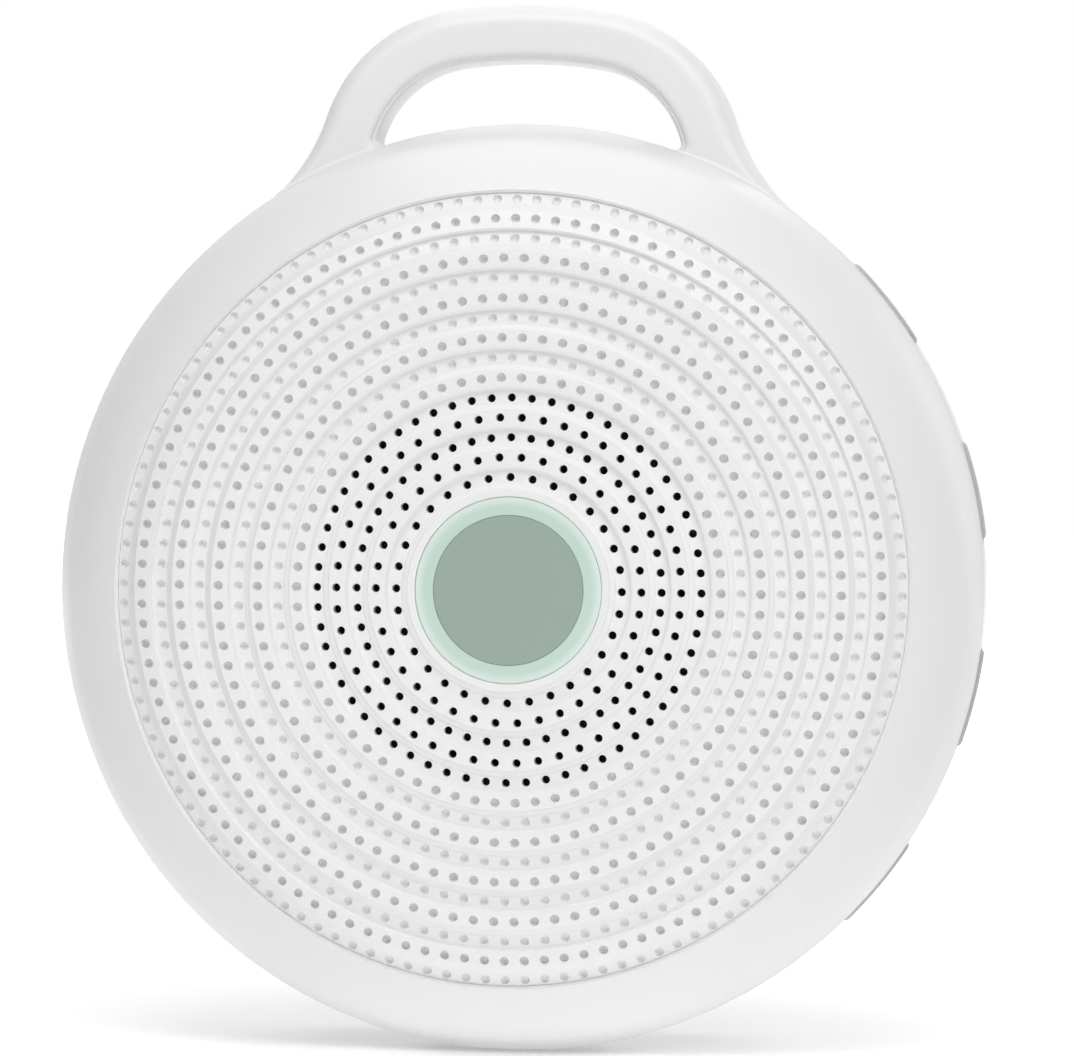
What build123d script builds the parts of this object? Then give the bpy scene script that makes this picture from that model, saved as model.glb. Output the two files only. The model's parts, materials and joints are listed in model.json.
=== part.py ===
"""White noise sound machine: a round travel unit that stands on its rim.

Every piece is drawn on a bench frame: the drum's axis is +Z, the front faces +Z, +Y is up and +X is
the side with the buttons. Heights on the bench are measured from the drum's mid-plane. place() then
stands a piece up: the front faces -Y, +Z is up and the origin is the middle of the flat it rests on.
"""
from build123d import *
import os
from math import acos, cos, degrees, hypot, radians, sin, sqrt

# ------------------------------------------------------------------ drum
BODY_R = 45.0               # outer radius of the side wall
BODY_DEPTH = 38.0           # from the raised lands of the grille to the flat back
FOOT_CUT = 0.15             # depth of the flat on the rim that the unit stands on
WALL = 2.0                  # housing wall
WALL_BAND = 10.8            # front-to-back width of the straight side wall
WALL_FRONT_DEPTH = (BODY_DEPTH - WALL_BAND) / 2   # depth behind the front where it starts
WALL_REAR_DEPTH = BODY_DEPTH - WALL_FRONT_DEPTH   # and where it ends
FRONT = BODY_DEPTH / 2      # bench height of the raised lands
OVERCUT = 1.0               # how far a cut runs past the face it opens, or a rib into its wall
FIT = 0.1                   # gap all round where one fixed piece sits inside another
RUN = 0.2                   # gap all round where a piece moves inside another
TOUCH = 0.01                # closer than this counts as the same place

# ------------------------------------------------------------------ front bezel
BEZEL_WIDTH = 6.9           # from the outside of the drum to the lip round the grille
LIP_R = BODY_R - BEZEL_WIDTH
LIP_ROUND = 0.35            # rounding of that lip
LIP_DEPTH = 3.2             # depth of the lip's crown behind the front
BAND_WIDTH = 1.3            # outer band, beyond the soft crease of the bezel's face
CREASE_R = BODY_R - BAND_WIDTH
CREASE_DEPTH = 9.3
CREASE_ROUND = 0.9
BEZEL_BULGE = 0.35          # how far the face swells from a straight cone
BAND_BULGE = 0.12           # and the same for the outer band
PARTING_STEP = 0.15
PARTING_R = BODY_R - PARTING_STEP   # outside radius at the parting line
PARTING_AHEAD = 0.6         # parting line in front of the straight side wall
PARTING_DEPTH = WALL_FRONT_DEPTH - PARTING_AHEAD
LEDGE_WIDTH = 1.8           # ledge under the edge of the grille
LEDGE_DEPTH = 5.3
LEDGE_THICK = 1.5
TONGUE_THICK = 1.3          # tongue that enters the rear housing
TONGUE_LENGTH = 1.4

# ------------------------------------------------------------------ rear housing
REAR_STEP = 0.2             # outside of the rear housing inside that of the side wall at the parting
BACK_MARGIN = 7.7           # from the outside of the drum to the edge of the flat back
BACK_EDGE_R = BODY_R - BACK_MARGIN
BACK_EDGE_DEPTH = 1.5       # and how far in front of the back that is
BACK_ROLL = 1.6             # width of the rounded edge of the back
BACK_ROLL_BULGE = 0.25

# ------------------------------------------------------------------ grille
ROW_COUNTS = (32, 38, 48, 50, 60, 66, 72, 78, 84, 90, 96, 102, 108, 116, 124)  # holes in each row
OPEN_ROWS = 5               # the inner rows go through to the speaker, the others are shallow dimples
FIRST_ROW_R = 10.8
LAST_ROW_IN = 0.6           # last row's circle inside the edge of the grille
GRILLE_R = LIP_R - FIT
ROW_PITCH = (GRILLE_R - LAST_ROW_IN - FIRST_ROW_R) / (len(ROW_COUNTS) - 1)
HOLE_R = 0.36
HOLE_SIDES = 6              # the small holes are kept to few faces
LAND_STEP = 0.55            # height of the odd rows' lands above the even rows' lands
FLANK = 0.36                # width of the slope between two lands
GRILLE_THICK = 1.6
GRILLE_FLAT_R = FIRST_ROW_R + (OPEN_ROWS - 0.5) * ROW_PITCH   # inside this the dome is flat
DOME_CURVE = 0.0046         # sag of the dome per square millimetre outside the flat
EDGE_WIDTH = 6.6            # the face rolls off faster this near to its edge
EDGE_START_R = GRILLE_R - EDGE_WIDTH
EDGE_CURVE = 0.035
EYE_RING_WIDTH = 1.0        # raised ring round the lens

# ------------------------------------------------------------------ lens and night light
LENS_R = 8.85
LENS_THICK = 1.75
LENS_CROWN = 0.25           # how much the lens swells at its middle
LENS_SET_BACK = 0.1         # lens edge below the raised ring
INLAY_R = 7.2
INLAY_THICK = 0.3
INLAY_FIT = 0.03
SHELF_WIDTH = 1.1           # shelf inside the eye that the lens and the lamp board sit against
SHELF_THICK = 1.0
EYE_WALL = 1.05
EYE_DEPTH = 5.4             # depth of the eye's tube behind the front
LAMP_BOARD_THICK = 0.8
LED_SIZE = (1.6, 1.6, 0.6)
LED_CIRCLE_R = 4.2
LED_COUNT = 3

# ------------------------------------------------------------------ speaker
SPEAKER_R = 22.5
CLOTH_THICK = 0.2
RIM_WALL = 1.6              # rib behind the grille that carries the speaker
SPEAKER_FACE_DEPTH = 7.0    # front of the speaker's flange
GASKET_THICK = 0.8
FLANGE_WIDTH = 1.8
FLANGE_THICK = 2.4
SEAT_WIDTH = 0.8            # seat for the surround inside the flange
SEAT_DROP = 1.5
BASKET_THICK = 0.9
BASKET_FOOT_R = 12.2
BASKET_DEPTH = 5.2
BASKET_WINDOWS = 4
BASKET_WINDOW_WIDTH = 12.0
MAGNET_R = 11.2
MAGNET_CLEAR = 1.5          # room between the magnet and the main board
MAGNET_PLATE = 1.2          # closed back of the magnet pot
MAGNET_CHAMFER = 0.5
POLE_R = 5.5
COIL_R = 6.0
COIL_THICK = 0.5
COIL_CLEAR = 1.45           # room between the coil and the bottom of the magnetic gap
COIL_GAP = 0.45             # magnetic gap each side of the coil
SURROUND_WIDTH = 2.6        # from the edge of the cone to the frame's seat
CONE_THICK = 0.5
CONE_DROP = 4.2
CONE_LIP = 1.0
SURROUND_THICK = 0.35
SURROUND_GAP = 0.15
SURROUND_LIP = 0.6
DUST_CAP_RISE = 1.6
DUST_CAP_THICK = 0.35
SPEAKER_SCREW_OUT = 2.1     # screws outside the speaker's flange
SPEAKER_SCREWS = 4
SPEAKER_POST_R = 2.0

# ------------------------------------------------------------------ screws
SCREW_FIT = 0.02            # thread formed in the plastic, modelled as a plain close hole
SMALL_SCREW_R = 0.9
SMALL_HEAD_R = 2.7
SMALL_HEAD_THICK = 1.2
SMALL_SCREW_BITE = 4.5      # length of screw in the plastic
CASE_SCREW_R = 1.2
CASE_HEAD_R = 2.3
CASE_HEAD_THICK = 1.6
CASE_SCREW_BITE = 8.0
CASE_SCREW_ANGLES = (60, 120, 240, 300)
CASE_SCREW_IN = 12.6        # case screws inside the outside of the drum
CASE_SCREW_CIRCLE_R = BODY_R - CASE_SCREW_IN
BOSS_R = 3.1
BOSS_MEET_OFFSET = 0.4
BOSS_MEET_DEPTH = BODY_DEPTH / 2 + BOSS_MEET_OFFSET   # where the bosses of the two housings meet
CASE_RECESS_R = 2.6
CASE_RECESS_DEEP = 7.0
CASE_SEAT_DEPTH = BODY_DEPTH - CASE_RECESS_DEEP   # the screw heads seat here
DRIVE_R = 0.9               # cross drive in a screw head
DRIVE_WIDTH = 0.45
DRIVE_DEEP = 0.8
HEAD_ROUND = 0.5            # rounding of the pan heads

# ------------------------------------------------------------------ carry handle
HANDLE_BAR = 5.4            # thickness of the bar seen from the front
HANDLE_INSET = 0.65         # handle's front and back inside the ends of the straight side wall
HANDLE_CORNER_X = 5.2       # centre of the handle's corner arcs
HANDLE_CORNER_DROP = 4.1    # and how far that centre lies inside the drum's radius
HANDLE_CORNER_Y = BODY_R - HANDLE_CORNER_DROP
HANDLE_CORNER_R = 15.5
HANDLE_CROWN = 0.4          # rise of the top's middle above the corner arcs
HANDLE_FLARE_R = 12.0       # flare where the legs meet the drum
HANDLE_ROOT_R = 1.2         # rounding in the lower corners of the opening
HANDLE_OUTER_ROUND = 1.9
HANDLE_INNER_ROUND = 0.8

# ------------------------------------------------------------------ buttons and switches
BUTTONS = {"sound": 39, "volume_up": 13, "volume_down": -13, "light": -39}
BUTTON_LENGTH = 9.7
BUTTON_WIDTH = 6.2
BUTTON_CORNER_R = 1.6
BUTTON_PROUD = 0.6
BUTTON_EDGE_ROUND = 0.3
BUTTON_TRAVEL = 0.4
BUTTON_FLANGE = 0.9         # flange behind the wall, beyond the button's outline
BUTTON_FLANGE_THICK = 1.4
FLANGE_GAP = 0.15
STEM_R = 1.6
BUTTON_DEPTH = BODY_DEPTH / 2   # depth of the buttons' middle line behind the front
SWITCH_SIZE = (3.6, 6.0, 4.6)   # outward, along the rim, front to back
SWITCH_RISE = 2.5           # plunger's axis above the board
SWITCH_INSET = 3.8          # face of the switch inside the side wall
PLUNGER_R = 1.0
PLUNGER_FIT = 0.06
PLUNGER_STROKE_ROOM = 0.2
PLUNGER_OUT = 1.0
PLUNGER_IN = 1.0

# ------------------------------------------------------------------ main board
BOARD_IN = 6.5              # edge of the board inside the outside of the drum
BOARD_R = BODY_R - BOARD_IN
BOARD_THICK = 1.6
BOARD_CLEAR = 1.0           # gap between the board and a boss
STANDOFF_IN = 14.0          # board screws inside the outside of the drum
STANDOFF_CIRCLE_R = BODY_R - STANDOFF_IN
STANDOFF_ANGLES = (75, 195, 315)
STANDOFF_R = 2.6
USB_SIZE = (5.7, 7.5, 2.7)  # inward, along the rim, front to back
USB_SHELL = 0.35
USB_SETBACK = 0.5           # mouth of the socket behind the inner wall
USB_WINDOW_GAP = 0.5
USB_RECESS = (11.5, 7.5)
USB_RECESS_DEEP = 0.9
USB_WINDOW_ROUND = 1.2
USB_RECESS_ROUND = 2.5
USB_TONGUE = (4.0, 0.6)     # along the rim, front to back
CHIP_SIZE = (8.0, 8.0, 1.2)
CHIP_PLACE = (-21.0, 12.0)
CHARGER_SIZE = (4.0, 5.0, 1.0)
CHARGER_PLACE = (-28.0, 4.5)
CAPACITOR_R = 2.5
CAPACITOR_TALL = 5.4
CAPACITOR_ROUND = 0.4
CAPACITOR_PLACE = (-18.0, -14.0)

# ------------------------------------------------------------------ battery
CELL_LENGTH = 40.0
CELL_WIDTH = 30.0
CELL_CLEAR = 3.1            # room between the cell and the board
CELL_ROUND = 2.0
PAD_THICK = 0.8
PAD_INSET = 2.0
TRAY_WALL = 1.2
TRAY_TALL = 4.0
TRAY_GAP = 0.3
BATTERY_SOCKET_SIZE = (4.4, 6.0, 3.4)
BATTERY_SOCKET_IN = 10.5    # middle of the battery's socket inside the edge of the board
BATTERY_SOCKET_X = BOARD_R - BATTERY_SOCKET_IN

# ------------------------------------------------------------------ leads
LEAD_R = 0.5
LEAD_SPACING = 2.0
LEAD_BEND = 2.2
LAMP_LEAD_Y = SPEAKER_R + 3.3       # where the lamp's leads pass the speaker
SPEAKER_LEAD_Y = -SPEAKER_R - 5.0   # where the speaker's leads turn to the board
TERMINAL_SIZE = (9.0, 3.2, 0.8)

# ------------------------------------------------------------------ sizes that follow
AXIS_HEIGHT = BODY_R - FOOT_CUT                    # drum axis above the surface it stands on
EYE_R = LENS_R + FIT                               # bore that the lens drops into
EYE_OUT_R = EYE_R + EYE_WALL
SHELF_DEPTH = LENS_SET_BACK + LENS_THICK              # front of the shelf
LAMP_BOARD_DEPTH = SHELF_DEPTH + SHELF_THICK
GRILLE_BACK_DEPTH = LAND_STEP + GRILLE_THICK       # back of the flat middle of the grille
RIM_R = SPEAKER_R - RUN                            # rib behind the grille, inside the flange's edge
FRAME_SEAT_DEPTH = SPEAKER_FACE_DEPTH + SEAT_DROP
FRAME_BACK_DEPTH = SPEAKER_FACE_DEPTH + FLANGE_THICK
MAGNET_FACE_DEPTH = FRAME_BACK_DEPTH + BASKET_DEPTH
FLANGE_IN_R = SPEAKER_R - FLANGE_WIDTH
SPEAKER_SCREW_CIRCLE_R = SPEAKER_R + SPEAKER_SCREW_OUT
SEAT_R = FLANGE_IN_R - SEAT_WIDTH
CONE_RIM_R = SEAT_R - SURROUND_WIDTH
CONE_FACE_DEPTH = FRAME_SEAT_DEPTH - SURROUND_THICK
CONE_NECK_DEPTH = CONE_FACE_DEPTH + CONE_DROP
BOARD_DEPTH = BUTTON_DEPTH + SWITCH_RISE           # front of the main board
BOARD_BACK_DEPTH = BOARD_DEPTH + BOARD_THICK
MAGNET_THICK = BOARD_DEPTH - MAGNET_CLEAR - MAGNET_FACE_DEPTH
GAP_BOTTOM_DEPTH = MAGNET_FACE_DEPTH + MAGNET_THICK - MAGNET_PLATE
COIL_LENGTH = GAP_BOTTOM_DEPTH - COIL_CLEAR - CONE_NECK_DEPTH
FLOOR_DEPTH = BODY_DEPTH - WALL                    # inside face of the back
WALL_IN_R = BODY_R - WALL
SWITCH_FACE_R = WALL_IN_R - SWITCH_INSET
PARTING_IN_R = PARTING_R - WALL + TONGUE_THICK / 2  # outside of the tongue
STEM_TIP_R = SWITCH_FACE_R + PLUNGER_OUT
CELL_BACK_DEPTH = FLOOR_DEPTH - PAD_THICK
CELL_FRONT_DEPTH = BOARD_BACK_DEPTH + CELL_CLEAR
CELL_SIZE = (CELL_LENGTH, CELL_WIDTH, CELL_BACK_DEPTH - CELL_FRONT_DEPTH)
HANDLE_DEPTH = WALL_BAND - 2 * HANDLE_INSET
HANDLE_MID_DEPTH = (WALL_FRONT_DEPTH + WALL_REAR_DEPTH) / 2


def level(depth):
    """Bench height of a depth behind the front."""
    return FRONT - depth


def place(shape):
    """Stand a bench piece up on the flat of its rim."""
    return Location((0, 0, AXIS_HEIGHT)) * Rotation(90, 0, 0) * shape


def polar(radius, angle):
    return (radius * cos(radians(angle)), radius * sin(radians(angle)))


def sag(radius):
    """How far the grille's dome lies behind the front at a radius."""
    flat = max(0.0, radius - GRILLE_FLAT_R)
    edge = max(0.0, radius - EDGE_START_R)
    return DOME_CURVE * flat ** 2 + EDGE_CURVE * edge ** 2


def turned(*edges):
    """Solid turned about the drum's axis from edges that close, drawn as (radius, height)."""
    return revolve(make_face([Plane.XZ * edge for edge in edges]), Axis.Z)


def turned_points(points):
    """Solid turned from straight lines through (radius, depth) points."""
    line = Polyline(*[(r, level(d)) for r, d in points], close=True)
    return revolve(make_face(Plane.XZ * line), Axis.Z)


def ring(outer, inner, depth, thick, centre=(0, 0)):
    """Flat ring or disc whose front is at a depth."""
    disc = Circle(outer) - Circle(inner) if inner else Circle(outer)
    return Location((centre[0], centre[1], level(depth + thick))) * extrude(disc, thick)


def slab(size, depth, centre=(0, 0)):
    """Rectangular block whose front is at a depth, with size (x, y, front to back)."""
    middle = level(depth + size[2] / 2)
    return Location((centre[0], centre[1], middle)) * Box(*size)


def bulged(start, end, bulge):
    """Arc between two (radius, depth) points that swells outwards from the chord."""
    (r0, d0), (r1, d1) = start, end
    length = hypot(r1 - r0, d1 - d0)
    middle = ((r0 + r1) / 2 + bulge * abs(d1 - d0) / length,
              (d0 + d1) / 2 - bulge * (r1 - r0) / length)
    return ThreePointArc(*[(r, level(d)) for r, d in (start, middle, end)])


def dome_arc(radius, centre, reach, start=0):
    """Arc of a sphere centred on the drum's axis, from a start radius out to its reach."""
    return ThreePointArc(*[(r, centre + sqrt(radius ** 2 - r ** 2))
                           for r in (start, (start + reach) / 2, reach)])


def chain(*points):
    """Straight lines through (radius, depth) points."""
    return Polyline(*[(r, level(d)) for r, d in points])


def screw(radius, head_r, head_thick, length, head_depth, centre, drive_up=True):
    """Pan-head screw. Its head's seat is at head_depth; drive_up puts the head on the front side."""
    way = 1 if drive_up else -1
    head = Pos(0, 0, way * head_thick / 2) * Cylinder(head_r, head_thick)
    rim = head.edges().filter_by(GeomType.CIRCLE).sort_by(Axis.Z)[-1 if drive_up else 0]
    head = fillet(rim, HEAD_ROUND)
    shank = Pos(0, 0, -way * length / 2) * Cylinder(radius, length)
    cross = Box(2 * DRIVE_R, DRIVE_WIDTH, DRIVE_DEEP) + Box(DRIVE_WIDTH, 2 * DRIVE_R, DRIVE_DEEP)
    cross = Pos(0, 0, way * (head_thick - DRIVE_DEEP / 2)) * cross
    return Location((centre[0], centre[1], level(head_depth))) * (head + shank - cross)


# ------------------------------------------------------------------ front
def front_bezel():
    """Conical ring that frames the grille, with a ledge that the grille clamps and a tongue."""
    lip = (LIP_R + LIP_ROUND, LIP_DEPTH)
    crease = (CREASE_R, CREASE_DEPTH)
    parting = (PARTING_R, PARTING_DEPTH)
    slope = hypot(CREASE_R - lip[0], CREASE_DEPTH - LIP_DEPTH)
    inset_r = WALL * (CREASE_DEPTH - LIP_DEPTH) / slope
    inset_d = WALL * (CREASE_R - lip[0]) / slope
    tongue_in_r = PARTING_IN_R - TONGUE_THICK
    inner_crease_depth = CREASE_DEPTH + inset_d
    ledge_r = LIP_R - LEDGE_WIDTH
    ledge_back = LEDGE_DEPTH + LEDGE_THICK
    cone_run = (inner_crease_depth - ledge_back) * (CREASE_R - lip[0]) / (CREASE_DEPTH - LIP_DEPTH)
    corner = LIP_ROUND * (1 - sqrt(0.5))
    lip_arc = ThreePointArc((LIP_R, level(LIP_DEPTH + LIP_ROUND)),
                            (LIP_R + corner, level(LIP_DEPTH + corner)),
                            (lip[0], level(LIP_DEPTH)))
    inside = chain(parting, (PARTING_IN_R, PARTING_DEPTH),
                   (PARTING_IN_R, PARTING_DEPTH + TONGUE_LENGTH),
                   (tongue_in_r, PARTING_DEPTH + TONGUE_LENGTH),
                   (tongue_in_r, inner_crease_depth),
                   (tongue_in_r - cone_run, ledge_back), (ledge_r, ledge_back),
                   (ledge_r, LEDGE_DEPTH), (LIP_R, LEDGE_DEPTH), (LIP_R, LIP_DEPTH + LIP_ROUND))
    body = turned(lip_arc, bulged(lip, crease, BEZEL_BULGE), bulged(crease, parting, BAND_BULGE), inside)
    crease_edge = body.edges().filter_by(GeomType.CIRCLE).filter_by(
        lambda e: abs(e.radius - CREASE_R) < TOUCH and abs(e.center().Z - level(CREASE_DEPTH)) < TOUCH)
    return fillet(crease_edge, CREASE_ROUND)


def grille_profile():
    """Front of the grille as (radius, depth) points: odd rows on raised lands, even rows between."""
    ring_out = EYE_R + EYE_RING_WIDTH
    points = [(EYE_R, 0), (ring_out - FLANK / 2, 0)]
    for row in range(len(ROW_COUNTS)):
        middle = FIRST_ROW_R + row * ROW_PITCH
        drop = 0 if row % 2 else LAND_STEP
        inner = middle - ROW_PITCH / 2 + FLANK / 2 if row else ring_out + FLANK / 2
        outer = min(middle + ROW_PITCH / 2 - FLANK / 2, GRILLE_R)
        points += [(inner, sag(inner) + drop), (outer, sag(outer) + drop)]
    return points


def grille_disc():
    """Rippled front disc: stepped lands, open rows of holes, eye tube, speaker rib, posts and bosses."""
    front = grille_profile()
    back = [(GRILLE_R, LEDGE_DEPTH), (LIP_R - LEDGE_WIDTH, LEDGE_DEPTH)]
    for radius in (LIP_R - LEDGE_WIDTH, EDGE_START_R, (EDGE_START_R + GRILLE_FLAT_R) / 2):
        back.append((radius, sag(radius) + GRILLE_BACK_DEPTH))
    back += [(RIM_R, GRILLE_BACK_DEPTH), (RIM_R, SPEAKER_FACE_DEPTH - GASKET_THICK),
             (RIM_R - RIM_WALL, SPEAKER_FACE_DEPTH - GASKET_THICK),
             (RIM_R - RIM_WALL, GRILLE_BACK_DEPTH), (EYE_OUT_R, GRILLE_BACK_DEPTH),
             (EYE_OUT_R, EYE_DEPTH), (EYE_R, EYE_DEPTH),
             (EYE_R, LAMP_BOARD_DEPTH), (EYE_R - SHELF_WIDTH, LAMP_BOARD_DEPTH),
             (EYE_R - SHELF_WIDTH, SHELF_DEPTH), (EYE_R, SHELF_DEPTH)]
    body = turned_points(front + back)
    for post in range(SPEAKER_SCREWS):
        spot = polar(SPEAKER_SCREW_CIRCLE_R, 45 + post * 360 / SPEAKER_SCREWS)
        start = sag(SPEAKER_SCREW_CIRCLE_R) + GRILLE_BACK_DEPTH - LAND_STEP
        body += ring(SPEAKER_POST_R, SMALL_SCREW_R + SCREW_FIT, start, FRAME_BACK_DEPTH - FIT - start, spot)
    for angle in CASE_SCREW_ANGLES:
        spot = polar(CASE_SCREW_CIRCLE_R, angle)
        start = sag(CASE_SCREW_CIRCLE_R) + GRILLE_BACK_DEPTH - LAND_STEP
        body += ring(BOSS_R, CASE_SCREW_R + SCREW_FIT, start, BOSS_MEET_DEPTH - start, spot)
    lead_slot = Location((0, RIM_R - RIM_WALL / 2, level(SPEAKER_FACE_DEPTH - GASKET_THICK)))
    body -= lead_slot * Box(LEAD_SPACING + 4 * LEAD_R, 2 * RIM_WALL, 2 * (EYE_DEPTH - LAMP_BOARD_DEPTH))
    body -= Location((0, EYE_R + EYE_WALL / 2, level(EYE_DEPTH))) * Box(
        LEAD_SPACING + 4 * LEAD_R, 2 * EYE_WALL, 2 * (EYE_DEPTH - LAMP_BOARD_DEPTH - LAMP_BOARD_THICK))
    hole = extrude(RegularPolygon(HOLE_R, HOLE_SIDES), GRILLE_BACK_DEPTH + 2 * OVERCUT)
    holes = []
    for row in range(OPEN_ROWS):
        radius = FIRST_ROW_R + row * ROW_PITCH
        for k in range(ROW_COUNTS[row]):
            x, y = polar(radius, k * 360 / ROW_COUNTS[row])
            holes.append(Location((x, y, level(GRILLE_BACK_DEPTH + OVERCUT))) * hole)
    return body - holes


def grille_cloth():
    """Thin acoustic cloth glued behind the open rows."""
    return ring(RIM_R - RIM_WALL - FIT, EYE_OUT_R + FIT, GRILLE_BACK_DEPTH, CLOTH_THICK)


def lens_dome():
    """Radius and centre height of the sphere that the lens and its inlay share."""
    radius = (LENS_R ** 2 + LENS_CROWN ** 2) / (2 * LENS_CROWN)
    return radius, level(LENS_SET_BACK) + LENS_CROWN - radius


def centre_lens():
    """Shallow domed lens of the night light, with a seat for its round inlay."""
    outer = dome_arc(*lens_dome(), LENS_R, INLAY_R)
    seat_depth = LENS_SET_BACK - LENS_CROWN + INLAY_THICK
    back = level(SHELF_DEPTH)
    rest = Polyline(outer @ 1, (LENS_R, back), (0, back), (0, level(seat_depth)),
                    (INLAY_R, level(seat_depth)), outer @ 0)
    return turned(outer, rest)


def lens_inlay():
    """Plain round inlay in the lens, crowned to carry on its dome."""
    top = dome_arc(*lens_dome(), INLAY_R - INLAY_FIT)
    low = level(LENS_SET_BACK - LENS_CROWN + INLAY_THICK)
    rest = Polyline(top @ 1, (INLAY_R - INLAY_FIT, low), (0, low), top @ 0)
    return turned(top, rest)


def lamp_board():
    return ring(EYE_R - FIT, 0, LAMP_BOARD_DEPTH, LAMP_BOARD_THICK)


def night_light_leds():
    spots = [polar(LED_CIRCLE_R, 90 + k * 360 / LED_COUNT) for k in range(LED_COUNT)]
    return Compound([slab(LED_SIZE, LAMP_BOARD_DEPTH - LED_SIZE[2], spot) for spot in spots])


# ------------------------------------------------------------------ speaker
def speaker_gasket():
    return ring(RIM_R, RIM_R - RIM_WALL, SPEAKER_FACE_DEPTH - GASKET_THICK, GASKET_THICK)


def speaker_frame():
    """Pressed basket: flange, seat for the surround, windowed cone and the plate on the magnet."""
    foot_in_r = COIL_R + COIL_THICK + COIL_GAP
    body = turned_points([
        (SPEAKER_R, SPEAKER_FACE_DEPTH), (SPEAKER_R, FRAME_BACK_DEPTH),
        (FLANGE_IN_R, FRAME_BACK_DEPTH), (BASKET_FOOT_R, MAGNET_FACE_DEPTH),
        (foot_in_r, MAGNET_FACE_DEPTH), (foot_in_r, MAGNET_FACE_DEPTH - BASKET_THICK),
        (BASKET_FOOT_R - BASKET_THICK / 2, MAGNET_FACE_DEPTH - BASKET_THICK),
        (SEAT_R, FRAME_BACK_DEPTH - BASKET_THICK / 2), (SEAT_R, FRAME_SEAT_DEPTH),
        (FLANGE_IN_R, FRAME_SEAT_DEPTH), (FLANGE_IN_R, SPEAKER_FACE_DEPTH)])
    window_height = MAGNET_FACE_DEPTH - FRAME_BACK_DEPTH - 2 * BASKET_THICK
    window = slab((2 * SPEAKER_R, BASKET_WINDOW_WIDTH, window_height), FRAME_BACK_DEPTH + BASKET_THICK / 2)
    for k in range(BASKET_WINDOWS // 2):
        body -= Rotation(0, 0, k * 360 / BASKET_WINDOWS) * window
    return body


def speaker_magnet():
    """Magnet pot with the round gap that the voice coil runs in, and its centre pole."""
    gap = ring(COIL_R + COIL_THICK + COIL_GAP, POLE_R, MAGNET_FACE_DEPTH, MAGNET_THICK - MAGNET_PLATE)
    pole = ring(POLE_R, 0, MAGNET_FACE_DEPTH - BASKET_THICK, BASKET_THICK)
    pot = ring(MAGNET_R, 0, MAGNET_FACE_DEPTH, MAGNET_THICK) - gap + pole
    rim = pot.edges().filter_by(GeomType.CIRCLE).sort_by(Axis.Z)[0]
    return chamfer(rim, MAGNET_CHAMFER)


def speaker_surround():
    """Half-roll of rubber between the frame's seat and the edge of the cone."""
    lip_in = CONE_RIM_R + SURROUND_GAP
    roll_in = lip_in + SURROUND_LIP
    roll_out = SEAT_R
    middle = (roll_in + roll_out) / 2
    rise = (roll_out - roll_in) / 2
    back = level(FRAME_SEAT_DEPTH)
    front = back + SURROUND_THICK
    outer = ThreePointArc((roll_out, front), (middle, back + rise + SURROUND_THICK), (roll_in, front))
    under = ThreePointArc((roll_in + SURROUND_THICK, back), (middle, back + rise),
                          (roll_out - SURROUND_THICK, back))
    return turned(outer, Polyline((roll_in, front), (lip_in, front), (lip_in, back),
                                  (roll_in + SURROUND_THICK, back)), under,
                  Polyline((roll_out - SURROUND_THICK, back), (FLANGE_IN_R - FIT, back),
                           (FLANGE_IN_R - FIT, front), (roll_out, front)))


def speaker_cone():
    neck = COIL_R + COIL_THICK
    return turned_points([
        (CONE_RIM_R, CONE_FACE_DEPTH), (CONE_RIM_R, CONE_FACE_DEPTH + CONE_THICK),
        (CONE_RIM_R - CONE_LIP, CONE_FACE_DEPTH + CONE_THICK), (neck, CONE_NECK_DEPTH),
        (COIL_R, CONE_NECK_DEPTH), (COIL_R, CONE_NECK_DEPTH - CONE_THICK),
        (neck, CONE_NECK_DEPTH - CONE_THICK), (CONE_RIM_R - CONE_LIP, CONE_FACE_DEPTH)])


def dust_cap():
    """Thin spherical cap glued over the neck of the cone."""
    low = level(CONE_NECK_DEPTH - CONE_THICK)
    reach = COIL_R + COIL_THICK / 2
    dome_r = (reach ** 2 + DUST_CAP_RISE ** 2) / (2 * DUST_CAP_RISE)
    centre = low + DUST_CAP_RISE - dome_r
    inner_r = dome_r - DUST_CAP_THICK
    outer = dome_arc(dome_r, centre, reach)
    under = dome_arc(inner_r, centre, sqrt(inner_r ** 2 - (low - centre) ** 2))
    return turned(outer, Line(outer @ 1, under @ 1), under, Line(under @ 0, outer @ 0))


def voice_coil():
    return ring(COIL_R + COIL_THICK, COIL_R, CONE_NECK_DEPTH, COIL_LENGTH)


def speaker_terminal():
    """Small tab with the solder points, on the back of the frame's flange."""
    return slab(TERMINAL_SIZE, FRAME_BACK_DEPTH, (0, -FLANGE_IN_R - FIT - TERMINAL_SIZE[1] / 2))


def speaker_screws():
    spots = [polar(SPEAKER_SCREW_CIRCLE_R, 45 + k * 360 / SPEAKER_SCREWS)
             for k in range(SPEAKER_SCREWS)]
    return Compound([screw_from_back(spot, FRAME_BACK_DEPTH) for spot in spots])


def screw_from_back(spot, depth):
    """Small screw driven from the back, head towards the back of the unit."""
    return screw(SMALL_SCREW_R, SMALL_HEAD_R, SMALL_HEAD_THICK, SMALL_SCREW_BITE, depth, spot,
                 drive_up=False)


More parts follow.
